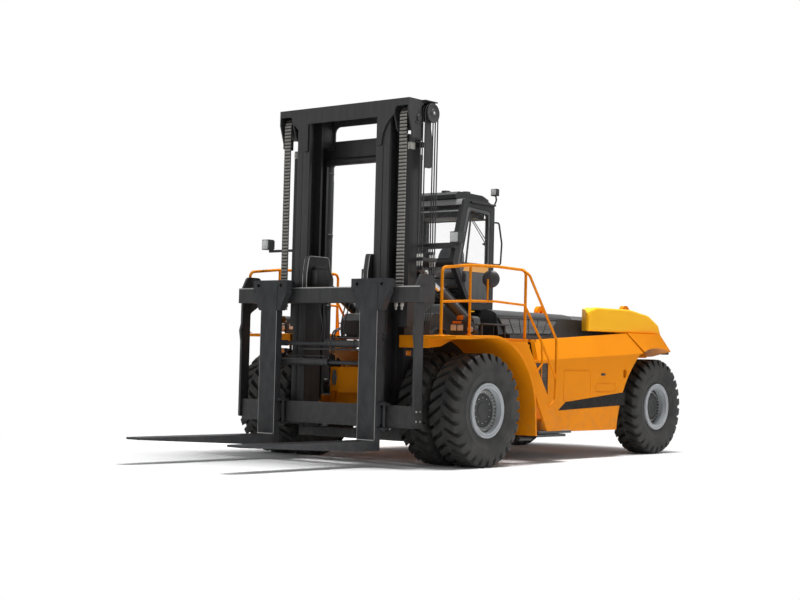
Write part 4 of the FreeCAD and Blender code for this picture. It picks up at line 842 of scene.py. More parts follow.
# ---- mast ------------------------------------------------------------------
class FORKLIFT_OT_mast_fittings(bpy.types.Operator):
    """Make the wear pads, pins, cylinder glands and bolts of the mast."""
    bl_idname = "forklift.mast_fittings"
    bl_label = "Mast fittings"

    def execute(self, context):
        bm = bmesh.new()
        add_box(bm, (0.610, 0.7035), (1.096, 1.1625), (4.585, 4.690), 0.006)
        piece("wear_pads", bm, "pad", "outer_mast", both=True)
        bm = bmesh.new()
        for z in (4.61, 4.665):
            hexagon_head(bm, (0.7030, 1.13, z), (1, 0, 0), 0.008, 0.006)
        add_cap(bm, (0.2, 1.095, 2.81), (0, 1, 0), (0.045, 0.010), (0.038, 0.014), 24)
        hexagon_head(bm, (0.2, 1.108, 2.81), (0, 1, 0), 0.016, 0.012)
        add_cap(bm, (0.45, 1.008, 0.8), (0, 1, 0), (0.070, 0.018), (0.058, 0.026), 32)
        piece("mast_pin_heads", bm, "zinc", "outer_mast", both=True)
        bm = bmesh.new()
        hexagon_head(bm, (0.0, 0.0, 0.098), (0, 1, 0), 0.014, 0.014)
        ring = repeated(bm, "turned_copies", 8, (0.0, math.pi / 4.0, 0.0), (0.45, 1.009, 0.8),
                        "zinc")
        gather("mast_foot_bolts", [ring], "zinc", "outer_mast", both=True)
        bm = bmesh.new()
        for low, high, radius in ((4.500, 4.572, 0.088), (4.380, 4.400, 0.080),
                                  (1.150, 1.200, 0.088), (2.300, 2.345, 0.083),
                                  (3.400, 3.445, 0.083)):
            add_collar(bm, (LIFT_X, LIFT_Y, 0.0), (0, 0, 1), 0.060, radius, low, high, 0.004, 0.006)
        add_box(bm, (LIFT_X - 0.115, LIFT_X - 0.065), about(LIFT_Y, 0.03), (1.22, 1.29), 0.006)
        add_tube(bm, [(LIFT_X - 0.10, LIFT_Y, 1.25), (LIFT_X - 0.10, LIFT_Y, 4.30),
                      (LIFT_X - 0.06, LIFT_Y, 4.39)], 0.012, 12, 0.05)
        piece("lift_cylinder_glands", bm, "black", "outer_mast", both=True)
        bm = bmesh.new()
        add_cap(bm, (SHEAVE[0], 1.280, SHEAVE[1]), (0, 1, 0), (0.052, 0.012), (0.044, 0.018), 32)
        add_box(bm, about(SHEAVE[0], 0.075), (1.280, 1.289),
                (SHEAVE[1] - 0.085, SHEAVE[1] - 0.050), 0.003)
        for x in (-0.05, 0.05):
            hexagon_head(bm, (SHEAVE[0] + x, 1.288, SHEAVE[1] - 0.068), (0, 1, 0), 0.010, 0.008)
        piece("sheave_pin_heads", bm, "black", "inner_mast", both=True)
        bm = bmesh.new()
        add_lathe(bm, [(0.143, -0.004), (0.140, 0.004), (0.120, 0.005), (0.112, 0.001),
                       (0.060, 0.001), (0.050, 0.008), (0.0, 0.008)],
                  (HOSE_SHEAVE[0], 1.3505, HOSE_SHEAVE[1]), (0, 1, 0), 40)
        piece("hose_sheave_face", bm, "black", "inner_mast")
        bm = bmesh.new()
        add_lathe(bm, [(0.0, 0.0), (0.024, 0.0), (0.022, 0.012), (0.012, 0.017), (0.0, 0.018)],
                  (HOSE_SHEAVE[0], 1.357, HOSE_SHEAVE[1]), (0, 1, 0), 24)
        piece("hose_sheave_hub", bm, "zinc", "inner_mast")
        bm = bmesh.new()
        add_box(bm, (0.377, 0.602), (0.650, 0.656), (4.735, 5.268), 0.002)
        add_box(bm, (0.888, 0.898), (0.660, 0.790), (0.530, 4.640), 0.004)
        add_box(bm, (0.888, 0.894), (0.806, 0.912), (0.530, 4.640), 0.003)
        piece("inner_mast_faces", bm, "black", "inner_mast", both=True)
        bm = bmesh.new()
        for z in (4.10, 1.10):
            add_lathe(bm, [(0.0, 0.0), (0.060, 0.0), (0.060, 0.008), (0.030, 0.012),
                           (0.030, 0.018), (0.0, 0.018)], (0.45, 1.0195, z), (0, 1, 0), 32)
        piece("roller_caps", bm, "black", "outer_mast", both=True)
        return {'FINISHED'}


# ---- carriage and forks ----------------------------------------------------
class FORKLIFT_OT_carriage_fittings(bpy.types.Operator):
    """Make the bolts, clamps, pipes and edge strips of the carriage."""
    bl_idname = "forklift.carriage_fittings"
    bl_label = "Carriage fittings"

    def execute(self, context):
        bm = bmesh.new()
        add_box(bm, (0.705, 0.730), (0.638, 0.652), (2.62, 3.02), 0.004)
        add_box(bm, (0.62, 0.90), (0.435, 0.562), (2.60, 2.84), 0.012)
        add_box(bm, (0.66, 0.86), (0.46, 0.555), (2.838, 2.90), 0.008)
        piece("tall_plate_boxes", bm, "black", "carriage", both=True)
        # Bright steel tubes along the tall plates' edges: a painted highlight on those edges.
        bm = bmesh.new()
        edge = [(0.995, 2.565), (0.995, 2.790), (0.950, 3.049), (0.512, 3.049), (0.476, 2.860),
                (0.401, 2.740), (0.401, 2.650)]
        for y in (0.639, 0.561):
            add_tube(bm, [(x, y, z) for x, z in edge], 0.007, 8, 0.05)
        piece("tall_plate_edge_highlights", bm, "wear_and_edge_highlight", "carriage", both=True)
        bm = bmesh.new()
        for x in (0.60, 0.83):
            for z in (2.72, 2.93):
                hexagon_head(bm, (x, 0.638, z), (0, 1, 0), 0.014, 0.008)
        for z in (2.46, 2.52):
            for x in (1.09, 1.15):
                hexagon_head(bm, (x, 1.730, z), (0, 1, 0), 0.015, 0.012)
        for x in (1.06, 1.15):
            for z in (0.66, 0.80):
                hexagon_head(bm, (x, 1.730, z), (0, 1, 0), 0.013, 0.010)
        for y in (1.085, 1.195):
            add_tube(bm, [(0.87, y, 2.362), (0.87, y, 2.24)], 0.016, 12)
            for z in (2.33, 2.29):
                add_nut(bm, (0.87, y, z), (0, 0, 1), 0.028, 0.03)
        piece("carriage_bolts", bm, "zinc", "carriage", both=True)
        bm = bmesh.new()
        add_box(bm, (1.186, 1.2025), (-1.784, 1.784), (2.546, 2.5625), 0.003)
        piece("bar_wear_strip", bm, "wear_and_edge_highlight", "carriage")
        bm = bmesh.new()
        for z, ends in ((1.735, (0.012, 0.10, 0.55, 1.0)), (1.460, (0.038, -0.05, -0.5, -0.95))):
            for y, wide in zip(ends, (0.016, 0.014, 0.014, 0.022)):
                add_lathe(bm, [(0.050, -wide), (0.058, -wide), (0.062, -wide + 0.004),
                               (0.062, wide - 0.004), (0.058, wide), (0.050, wide)],
                          (1.12, y, z), (0, 1, 0), 32)
                add_box(bm, (1.045, 1.080), about(y, wide), about(z, 0.030), 0.004)
        add_nut(bm, (1.12, -1.384, 1.46), (0, 1, 0), 0.042, 0.034)
        add_lathe(bm, [(0.0, 0.0), (0.056, 0.0), (0.060, 0.006), (0.060, 0.030), (0.0, 0.030)],
                  (1.12, -1.010, 1.46), (0, 1, 0), 32)
        piece("shift_cylinder_clamps", bm, "graphite", "carriage")
        bm = bmesh.new()
        for z, near, far in ((1.735, 0.08, 0.98), (1.460, -0.03, -0.93)):
            add_tube(bm, [(1.12, near, z + 0.045), (1.12, near, z + 0.085),
                          (1.10, near + (far - near) * 0.2, z + 0.090),
                          (1.06, far - (far - near) * 0.1, z + 0.085),
                          (1.00, far, z + 0.120), (0.93, far, z + 0.10)], 0.009, 10, 0.05)
            add_tube(bm, [(1.12, far, z + 0.045), (1.12, far, z + 0.075),
                          (1.04, far + (near - far) * 0.03, z + 0.15),
                          (0.93, far, z + 0.16)], 0.009, 10, 0.05)
        for y in (-0.25, -0.18, 0.18, 0.25):
            add_tube(bm, [(0.985, y, 1.66), (0.985, y, 1.74), (1.0, y * 0.8, 2.0),
                          (0.985, y * 1.2, 2.30), (0.985, y * 1.2, 2.40)], 0.010, 10, 0.12)
        piece("shift_hoses", bm, "hose", "carriage")
        return {'FINISHED'}


class FORKLIFT_OT_fork_fittings(bpy.types.Operator):
    """Make the weld beads, hole collars and clamp bolts of the forks."""
    bl_idname = "forklift.fork_fittings"
    bl_label = "Fork fittings"

    def execute(self, context):
        for side, sign in SIDES:
            body = "fork_" + side
            middle = sign * FORK_Y
            bm = bmesh.new()
            add_tube(bm, [(1.360, middle - 0.158, 0.374), (1.360, middle + 0.158, 0.374)],
                     0.011, 10)
            for y in (-0.162, 0.162):
                add_tube(bm, [(1.353, middle + y, 0.38), (1.353, middle + y, 2.21)], 0.004, 6)
            piece("fork_heel_weld_" + side, bm, "wear_and_edge_highlight", body)
            bm = bmesh.new()
            for y in (-0.23, 0.23):
                add_lathe(bm, [(0.027, 0.0), (0.040, 0.0), (0.040, 0.006), (0.036, 0.009),
                               (0.030, 0.009), (0.027, 0.006)], (1.3495, middle + y, 2.59),
                          (1, 0, 0), 32)
            for y in (-0.30, -0.16, 0.16, 0.30):
                hexagon_head(bm, (1.35, middle + y, 2.50), (1, 0, 0), 0.012, 0.010)
            piece("fork_head_collars_" + side, bm, "black", body)
            bm = bmesh.new()
            for y in (-0.198, 0.198):
                for z, up in ((0.905, 1.0), (0.524, -1.0)):
                    add_cap(bm, (1.196, middle + y, z), (0, 0, up), (0.034, 0.014), (0.018, 0.018),
                            24)
                add_box(bm, (1.225, 1.290), about(middle + y, 0.03), (0.904, 0.912), 0.003)
            piece("fork_roller_pins_" + side, bm, "graphite", body)
        return {'FINISHED'}


# ---- body ------------------------------------------------------------------
class FORKLIFT_OT_body_trim(bpy.types.Operator):
    """Make the fenders' thin sheets, and the stripes, louvres, latches, bolts and towing pin."""
    bl_idname = "forklift.body_trim"
    bl_label = "Body trim"

    def execute(self, context):
        for side, sign in SIDES:
            bm = bmesh.new()
            edge = [(0.775, 1.878), (0.0, 1.900)]
            edge += arc((0.0, 1.900), (-0.860, 1.640), (-1.262, 0.870), 24)[1:]
            edge += [(-1.300, 0.430), (-1.262, 0.430)]
            edge += arc((-1.224, 0.875), (-0.834, 1.609), (0.0, 1.862), 24)
            edge += [(0.400, 1.838), (0.775, 1.832)]
            add_prism(bm, edge, 1, *sorted((sign * 1.080, sign * 2.110)), 0.006)
            add_prism(bm, [(0.440, 1.840), (0.560, 1.715), (0.590, 1.715), (0.590, 1.835)], 1,
                      *about(sign * 1.25, 0.015))
            box = [(0.770, 1.836), (0.770, 1.700), (0.470, 1.728), (0.240, 1.818), (0.060, 1.850)]
            add_prism(bm, box, 1, *sorted((sign * 1.080, sign * 1.620)), 0.006)
            edge = [(-0.640, 1.836), (-1.107, 1.836), (-2.080, 0.490), (-1.690, 0.490),
                    (-1.240, 1.230), (-1.000, 1.500), (-0.800, 1.700)]
            add_prism(bm, edge, 1, *sorted((sign * 1.990, sign * 2.030)), 0.004)
            cover = piece("fender_sheet_" + side, bm, "yellow")
            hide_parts("fender_" + side)
        bm = bmesh.new()
        outline = [(-2.474, 0.786), (-2.685, 0.919), (-4.502, 1.078), (-4.477, 0.860)]
        add_prism(bm, outline, 1, 1.6992, 1.7015)
        piece("side_stripes", bm, "decal", both=True)
        vane = bmesh.new()
        add_prism(vane, [(1.6885, -0.010), (1.7005, -0.013), (1.7005, -0.009), (1.6885, 0.0)], 0,
                  -2.166, -1.819)
        vanes = repeated(vane, "row_copies", 22, (0.0, 0.0, 0.0258), (0.0, 0.0, 0.976),
                         "bronze")
        gather("louvre_vanes", [vanes], "bronze", both=True)
        bm = bmesh.new()
        for x in ((-2.186, -2.168), (-1.817, -1.799)):
            add_box(bm, x, (1.690, 1.704), (0.936, 1.544), 0.003)
        for z in ((0.936, 0.952), (1.528, 1.544)):
            add_box(bm, (-2.184, -1.801), (1.690, 1.7038), z, 0.003)
        add_box(bm, (-2.000, -1.985), (1.690, 1.7035), (0.95, 1.53), 0.003)
        piece("louvre_frames", bm, "yellow", both=True)
        bm = bmesh.new()
        add_box(bm, (-3.859, -3.736), (1.698, 1.7075), (1.348, 1.387), 0.005)
        add_box(bm, (-3.840, -3.760), (1.705, 1.7150), (1.360, 1.376), 0.004)
        piece("door_latches", bm, "plastic", both=True)
        bm = bmesh.new()
        # The mesh lies on the hood's side, which leans in by 50 mm for each 375 mm up.
        lean = 50.0 / 375.0
        frame_line = [(-1.650, 1.972), (-2.850, 2.000), (-3.120, 2.235), (-1.475, 2.215)]
        places = [(x, 1.268 - (z - 1.885) * lean, z) for x, z in frame_line]
        add_frame(bm, places, 0.011)
        for index in range(1, 6):
            share = index / 6.0
            low = Vector(places[0]).lerp(Vector(places[1]), share)
            high = Vector(places[3]).lerp(Vector(places[2]), share)
            add_tube(bm, [low, high], 0.007, 6)
        piece("hood_mesh_frames", bm, "plastic", both=True)
        bm = bmesh.new()
        crown = [(1.198, 2.262), (1.160, 2.298), (1.090, 2.328), (1.000, 2.344), (0.930, 2.344),
                 (0.930, 2.332), (0.998, 2.330), (1.198, 2.258)]
        add_prism(bm, crown, 0, -3.60, -1.455, 0.0)
        piece("hood_shoulder_trim", bm, "plastic", both=True)
        rows = []
        for axis, count, step, start in (
                ((0, 0, 1), 10, (-0.148, 0.0, 0.0), (-1.51, 1.425, 1.955)),
                ((0, 0, 1), 10, (-0.148, 0.0, 0.0), (-1.51, 1.30, 1.955)),
                ((-1, 0, 0), 4, (0.0, 0.0, 0.20), (-6.44, 0.19, 0.84))):
            bm = bmesh.new()
            hexagon_head(bm, (0.0, 0.0, 0.0), axis, 0.018, 0.014)
            rows.append(repeated(bm, "row_copies", count, step, start, "graphite"))
        gather("body_bolts", rows, "graphite", both=True)
        slat = bmesh.new()
        add_prism(slat, [(0.8785, -0.011), (0.893, -0.007), (0.893, 0.002), (0.8785, 0.011)], 0,
                  -1.985, -1.10)
        slats = repeated(slat, "row_copies", 7, (0.0, 0.0, 0.034), (0.0, 0.0, 2.00),
                         "plastic")
        gather("pedestal_slats", [slats], "plastic", both=True)
        bm = bmesh.new()
        add_cap(bm, (-6.30, 0.0, 1.22), (-1, 0, 0), (0.075, 0.02), (0.060, 0.03), 32)
        for z in (1.33, 1.11):
            add_box(bm, (-6.545, -6.43), (-0.10, 0.10), about(z, 0.022), 0.008)
        add_tube(bm, [(-6.50, 0.0, 1.05), (-6.50, 0.0, 1.40)], 0.026, 16)
        add_tube(bm, [(-6.50, 0.0, 1.395), (-6.50, 0.0, 1.425), (-6.50, 0.09, 1.425)],
                 0.010, 10, 0.02)
        piece("towing_pin", bm, "graphite")
        return {'FINISHED'}


class FORKLIFT_OT_access(bpy.types.Operator):
    """Make the grip studs of the treads, the step plates, clamps and mirror glasses."""
    bl_idname = "forklift.access"
    bl_label = "Steps and railings"

    def execute(self, context):
        studs = []
        for step in range(4):
            # The treads follow the stair's slope, 723 mm forward for each metre up.
            z = 0.675 + 0.310 * step
            x = -2.060 + (z - 0.035 - 0.490) * 0.723
            for row in range(4):
                bm = bmesh.new()
                add_lathe(bm, [(0.013, 0.0), (0.010, 0.005), (0.006, 0.006), (0.0, 0.004)],
                          (0.0, 0.0, 0.0), (0, 0, 1), 8)
                studs.append(repeated(bm, "row_copies", 7, (0.0, 0.036, 0.0),
                                      (x + 0.05 + 0.07 * row, 1.745, z), "yellow"))
        gather("tread_studs", studs, "yellow", both=True)
        bm = bmesh.new()
        add_box(bm, (-1.44, -0.76), (1.12, 1.45), (2.085, 2.105), 0.006)
        for x in (-1.40, -0.80):
            for y in ((1.16, 1.19), (1.38, 1.41)):
                add_box(bm, about(x, 0.015), y, (1.879, 2.087), 0.004)
        piece("entry_step", bm, "black", both=True)
        rows = []
        for row in range(5):
            bm = bmesh.new()
            add_lathe(bm, [(0.012, 0.0), (0.010, 0.004), (0.0, 0.005)], (0, 0, 0), (0, 0, 1), 8)
            rows.append(repeated(bm, "row_copies", 12, (0.055, 0.0, 0.0),
                                 (-1.40, 1.16 + 0.06 * row, 2.105), "black"))
        gather("entry_step_studs", rows, "black", both=True)
        bm = bmesh.new()
        add_box(bm, (-2.38, -1.48), (1.93, 2.02), (0.4895, 0.4935), 0.002)
        for x in (-2.30, -2.00, -1.70):
            hexagon_head(bm, (x, 1.85, 0.490), (0, 0, 1), 0.014, 0.010)
        piece("bottom_step_strips", bm, "wear_and_edge_highlight", both=True)
        bm = bmesh.new()
        facing = Vector((0.87, 0.47, 0.0)).normalized()
        centre = Vector((-0.319, 1.9, 2.739))
        add_lathe(bm, [(0.113, 0.0), (0.118, 0.004), (0.126, 0.004), (0.129, -0.004),
                       (0.129, -0.014), (0.124, -0.018)], centre - facing * 0.018, -facing, 48)
        add_lathe(bm, [(0.127, -0.004), (0.123, 0.006), (0.095, 0.026), (0.045, 0.040),
                       (0.0, 0.044)], centre + facing * 0.018, facing, 48)
        piece("mirror_shells", bm, "plastic", both=True)
        bm = bmesh.new()
        add_lathe(bm, [(0.114, 0.0), (0.08, 0.003), (0.04, 0.0045), (0.0, 0.005)],
                  centre - facing * 0.0185, -facing, 48)
        piece("mirror_glass", bm, "mirror", both=True)
        bm = bmesh.new()
        add_tube(bm, [(-0.245, 1.9, 2.400), (-0.245, 1.9, 2.735)], 0.0135, 12)
        for x, z in ((0.85, 1.886), (0.185, 1.898)):
            add_lathe(bm, [(0.020, 0.030), (0.026, 0.028), (0.030, 0.010), (0.055, 0.008),
                           (0.055, 0.0), (0.0, 0.0)], (x, 1.9, z), (0, 0, 1), 24)
        piece("railing_collars", bm, "yellow", both=True)
        return {'FINISHED'}


# ---- lamps -----------------------------------------------------------------
class FORKLIFT_OT_lamps(bpy.types.Operator):
    """Make the lenses, bezels and cooling fins of the lamps."""
    bl_idname = "forklift.lamps"
    bl_label = "Lamps"

    def execute(self, context):
        bm = bmesh.new()
        for y in ((1.500, 1.612), (1.628, 1.740)):
            add_box(bm, (0.098, 0.112), y, (1.965, 2.055), 0.012)
        add_lathe(bm, [(0.053, 0.0), (0.046, 0.010), (0.026, 0.017), (0.0, 0.019)],
                  (0.1145, 1.868, 1.990), (1, 0, 0), 32)
        piece("clear_lenses", bm, "clear", both=True)
        bm = bmesh.new()
        add_box(bm, (0.024, 0.090), (1.596, 1.714), (2.122, 2.186), 0.012)
        add_box(bm, (0.699, 0.766), (1.204, 1.296), (1.584, 1.656), 0.008)
        add_box(bm, (0.098, 0.110), (1.530, 1.700), (2.068, 2.104), 0.008)
        piece("amber_lenses", bm, "amber", both=True)
        bm = bmesh.new()
        for y in ((1.492, 1.620), (1.620, 1.748)):
            for z in ((1.955, 1.967), (2.053, 2.065)):
                add_box(bm, (0.095, 0.118), y, z, 0.003)
        for y in ((1.492, 1.504), (1.614, 1.626), (1.736, 1.748)):
            add_box(bm, (0.095, 0.118), y, (1.955, 2.065), 0.003)
        add_lathe(bm, [(0.054, 0.0), (0.054, 0.008), (0.062, 0.008), (0.065, 0.0),
                       (0.065, -0.05)], (0.112, 1.868, 1.990), (1, 0, 0), 40)
        piece("lamp_bezels", bm, "plastic", both=True)
        bm = bmesh.new()
        arch = [(1.770, 2.100), (1.785, 2.150), (1.830, 2.178), (1.890, 2.178), (1.935, 2.150),
                (1.950, 2.060), (1.936, 2.060), (1.922, 2.140), (1.886, 2.164), (1.834, 2.164),
                (1.797, 2.140), (1.784, 2.100)]
        add_prism(bm, arch, 0, -0.02, 0.135, 0.003)
        piece("lamp_guards", bm, "graphite", both=True)
        bm = bmesh.new()
        turn = Matrix.Rotation(math.radians(-35.75), 4, 'Z')
        for low, high in ((-0.112, -0.002), (0.002, 0.112)):
            lens_box = bmesh.new()
            add_box(lens_box, (-0.044, -0.033), (low, high), (-0.038, 0.038), 0.008)
            bmesh.ops.transform(lens_box, matrix=turn, verts=lens_box.verts)
            bmesh.ops.translate(lens_box, vec=(-6.215, 1.457, 1.780), verts=lens_box.verts)
            spare = bpy.data.meshes.new("lens")
            lens_box.to_mesh(spare)
            lens_box.free()
            bm.from_mesh(spare)
            bpy.data.meshes.remove(spare)
        piece("tail_lenses", bm, "red", both=True)
        bm = bmesh.new()
        add_box(bm, (0.557, 0.570), (1.810, 1.940), (3.222, 3.358), 0.010)
        piece("mast_lamp_lenses", bm, "clear", "outer_mast", both=True)
        fin = bmesh.new()
        add_box(fin, (0.412, 0.4405), (-0.004, 0.004), (3.225, 3.355), 0.0015)
        fins = repeated(fin, "row_copies", 8, (0.0, 0.017, 0.0), (0.0, 1.816, 0.0),
                        "black")
        gather("mast_lamp_fins", [fins], "black", "outer_mast", both=True)
        bm = bmesh.new()
        add_box(bm, (-1.000, -0.905), (0.735, 0.830), (3.425, 3.520), 0.010)
        add_tube(bm, [(-0.985, 0.78, 3.50), (-0.985, 0.78, 3.535)], 0.010, 10)
        add_box(bm, (-2.035, -1.955), (0.670, 0.785), (4.185, 4.300), 0.010)
        add_tube(bm, [(-2.00, 0.735, 4.20), (-2.03, 0.735, 4.12), (-1.97, 0.735, 4.03),
                      (-1.97, 0.72, 3.99)], 0.014, 10, 0.03)
        piece("cab_lamp_cases", bm, "plastic", both=True)
        bm = bmesh.new()
        add_box(bm, (-0.908, -0.898), (0.745, 0.820), (3.435, 3.510), 0.008)
        add_box(bm, (-1.958, -1.948), (0.682, 0.773), (4.197, 4.288), 0.008)
        piece("cab_lamp_lenses", bm, "clear", both=True)
        return {'FINISHED'}


# ---- cab -------------------------------------------------------------------
def front_x(z):
    """Outer face of the cab's upper front at height z."""
    return -1.157 + (4.000 - z) * 0.26


def chin_x(z):
    """Outer face of the cab's lower front at height z."""
    return -0.910 - (3.050 - z) * 0.662


def front_band(bm, line, z, half, out, thick):
    """Flat band across one of the cab's front faces, standing out from it."""
    outline = [(line(z[0]) + out - thick, z[0]), (line(z[1]) + out - thick, z[1]),
               (line(z[1]) + out, z[1]), (line(z[0]) + out, z[0])]
    add_prism(bm, outline, 1, -half, half, 0.003)


class FORKLIFT_OT_cab_outside(bpy.types.Operator):
    """Make the cab's seals, bands, wiper, rails and door furniture."""
    bl_idname = "forklift.cab_outside"
    bl_label = "Cab outside"

    def execute(self, context):
        bm = bmesh.new()
        front_band(bm, front_x, (3.972, 4.062), 0.70, 0.012, 0.010)
        front_band(bm, front_x, (3.868, 3.888), 0.66, 0.008, 0.006)
        piece("visor_bands", bm, "band")
        bm = bmesh.new()
        front_band(bm, front_x, (3.268, 3.362), 0.755, 0.055, 0.045)
        for y in (-0.70, 0.70):
            add_box(bm, (front_x(3.31) - 0.01, front_x(3.31) + 0.03), about(y, 0.03),
                    (3.285, 3.345), 0.004)
        add_tube(bm, [(front_x(3.36) + 0.035, -0.12, 3.36), (front_x(3.46) + 0.040, -0.16, 3.46),
                      (front_x(3.82) + 0.030, -0.42, 3.82)], 0.008, 8, 0.03)
        add_tube(bm, [(front_x(3.50) + 0.014, -0.24, 3.50), (front_x(3.93) + 0.014, -0.52, 3.93)],
                 0.010, 8)
        for y in ((0.735, 0.775), (-0.775, -0.735)):
            add_box(bm, (-1.970, -1.330), y, (4.010, 4.040), 0.006)
        piece("front_rail_and_wiper", bm, "plastic")
        bm = bmesh.new()
        for line, low, high in ((front_x, 3.110, 3.965), (chin_x, 2.470, 2.990)):
            ring = [(line(z) - 0.006, y, z) for y, z in
                    ((-0.662, low), (-0.662, high), (0.662, high), (0.662, low))]
            add_frame(bm, ring, 0.011)
        ring = [(-1.978, y, z) for y, z in
                ((-0.598, 2.902), (-0.598, 3.898), (0.598, 3.898), (0.598, 2.902))]
        add_frame(bm, ring, 0.010)
        piece("window_seals", bm, "foot")
        for side, sign in SIDES:
            body = "cab_door_" + side
            bm = bmesh.new()
            ring = [(-1.797, 3.063), (-1.797, 3.862), (-1.322, 3.892), (-1.100, 3.063)]
            ring = [(x, sign * 0.741, z) for x, z in ring]
            add_tube(bm, ring + ring[:2], 0.010, 8, 0.05)
            piece("door_window_seal_" + side, bm, "foot", body)
            bm = bmesh.new()
            add_lathe(bm, [(0.0, 0.052), (0.022, 0.050), (0.028, 0.038), (0.024, 0.028),
                           (0.012, 0.024), (0.012, 0.0)], (-1.722, sign * 0.705, 3.394),
                      (0, sign, 0), 24)
            add_box(bm, (-1.235, -1.155), sorted((sign * 0.738, sign * 0.746)), (2.735, 2.925), 0.006)
            add_box(bm, (-1.206, -1.184), sorted((sign * 0.770, sign * 0.783)), (2.770, 2.890), 0.004)
            for z in (2.66, 3.66):
                add_lathe(bm, [(0.0, 0.118), (0.011, 0.116), (0.013, 0.108), (0.013, -0.008),
                               (0.011, -0.016), (0.0, -0.018)], (-1.860, sign * 0.750, z),
                          (0, 0, 1), 16)
            piece("door_furniture_" + side, bm, "plastic", body)
            bm = bmesh.new()
            outline = [(-1.170, 2.935), (-1.215, 3.012), (-1.838, 3.030), (-1.838, 2.935)]
            add_prism(bm, outline, 1, *sorted((sign * 0.7395, sign * 0.7425)))
            piece("door_stripe_" + side, bm, "stripe", body)
            bm = bmesh.new()
            for x, low in ((-1.72, 2.50), (-1.58, 2.50), (-1.44, 2.50), (-1.36, 2.56)):
                add_box(bm, about(x, 0.006), sorted((sign * 0.7385, sign * 0.7425)),
                        (low, 2.91), 0.002)
            piece("door_ribs_" + side, bm, "door", body)
        bm = bmesh.new()
        for x, height in ((-1.26, 4.213), (-1.79, 4.253)):
            add_lathe(bm, [(0.075, 0.0), (0.074, height - 4.168), (0.064, height - 4.152),
                           (0.036, height - 4.148), (0.0, height - 4.147)], (x, 0.30, 4.15),
                      (0, 0, 1), 32)
        for index in range(9):
            x = -1.82 + 0.07 * index
            add_box(bm, (x, x + 0.03), (-0.40, 0.08), (4.170, 4.196), 0.005)
        piece("roof_caps_and_ribs", bm, "charcoal")
        return {'FINISHED'}


class FORKLIFT_OT_cab_inside(bpy.types.Operator):
    """Make the overhead console, dashboard, levers and posts inside the cab."""
    bl_idname = "forklift.cab_inside"
    bl_label = "Cab inside"

    def execute(self, context):
        bm = bmesh.new()
        add_box(bm, (-1.900, -1.300), (-0.600, 0.600), (3.800, 3.975), 0.020)
        for y in (-0.40, -0.13, 0.13, 0.40):
            add_lathe(bm, [(0.0, 0.0), (0.045, 0.0), (0.050, 0.012), (0.030, 0.020),
                           (0.0, 0.020)], (-1.302, y, 3.880), (1, 0, 0), 24)
        add_box(bm, (-1.905, -1.880), (-0.62, 0.62), (3.785, 3.815), 0.004)
        piece("overhead_console", bm, "plastic")
        bm = bmesh.new()
        outline = [(-1.010, 3.050), (-1.340, 3.070), (-1.345, 2.860), (-1.150, 2.855)]
        add_prism(bm, outline, 1, 0.190, 0.430, 0.020)
        add_box(bm, (-1.330, -1.060), (-0.60, 0.60), (2.905, 2.945), 0.012)
        for y in ((0.395, 0.565), (-0.565, -0.395)):
            add_box(bm, (-1.85, -1.45), y, (2.860, 2.960), 0.022)
        piece("dashboard", bm, "band")
        bm = bmesh.new()
        for x, y in ((-1.50, -0.52), (-1.50, -0.47), (-1.50, -0.43), (-1.52, 0.48)):
            add_tube(bm, [(x, y, 2.95), (x + 0.02, y, 3.05)], 0.006, 8)
            add_lathe(bm, [(0.0, 0.045), (0.012, 0.042), (0.019, 0.025), (0.015, 0.005),
                           (0.0, 0.0)], (x + 0.02, y, 3.045), (0, 0, 1), 16)
        add_box(bm, (-1.345, -1.330), (-0.20, 0.02), (3.08, 3.26), 0.006)
        add_tube(bm, [(-1.34, -0.09, 2.94), (-1.34, -0.09, 3.10)], 0.012, 10)
        for y in (-0.10, 0.12):
            add_box(bm, (-1.400, -1.330), about(y, 0.04), (2.520, 2.540), 0.005)
        piece("levers_and_display", bm, "plastic")
        bm = bmesh.new()
        for y in (0.655, -0.655):
            add_tube(bm, [(-1.455, y, 3.790), (-1.350, y, 3.036), (-1.350, y, 2.42)], 0.016, 10)
            for front, back in ((3.78, 3.45), (3.74, 3.38)):
                add_tube(bm, [(-1.50, y, front), (-1.90, y, back)], 0.007, 8)
        piece("inner_posts", bm, "charcoal")
        return {'FINISHED'}


def inflate(obj, push):
    """Swell a closed mesh with Cloth under pressure, no point moving further than push."""
    last_frame = 20
    modifier = obj.modifiers.new("stuffing", 'CLOTH')
    modifier.settings.use_pressure = True
    modifier.settings.uniform_pressure_force = 4.0
    modifier.settings.effector_weights.gravity = 0.0
    modifier.settings.quality = 4
    modifier.point_cache.frame_start = 1
    modifier.point_cache.frame_end = last_frame
    before = [v.co.copy() for v in obj.data.vertices]
    scene = bpy.context.scene
    for frame_number in range(1, last_frame + 1):
        scene.frame_set(frame_number)
    swollen = evaluated(obj)
    for old, vertex in zip(before, swollen.vertices):
        move = vertex.co - old
        if move.length > push:
            vertex.co = old + move * (push / move.length)
    obj.modifiers.remove(modifier)
    obj.data = swollen
    scene.frame_set(1)


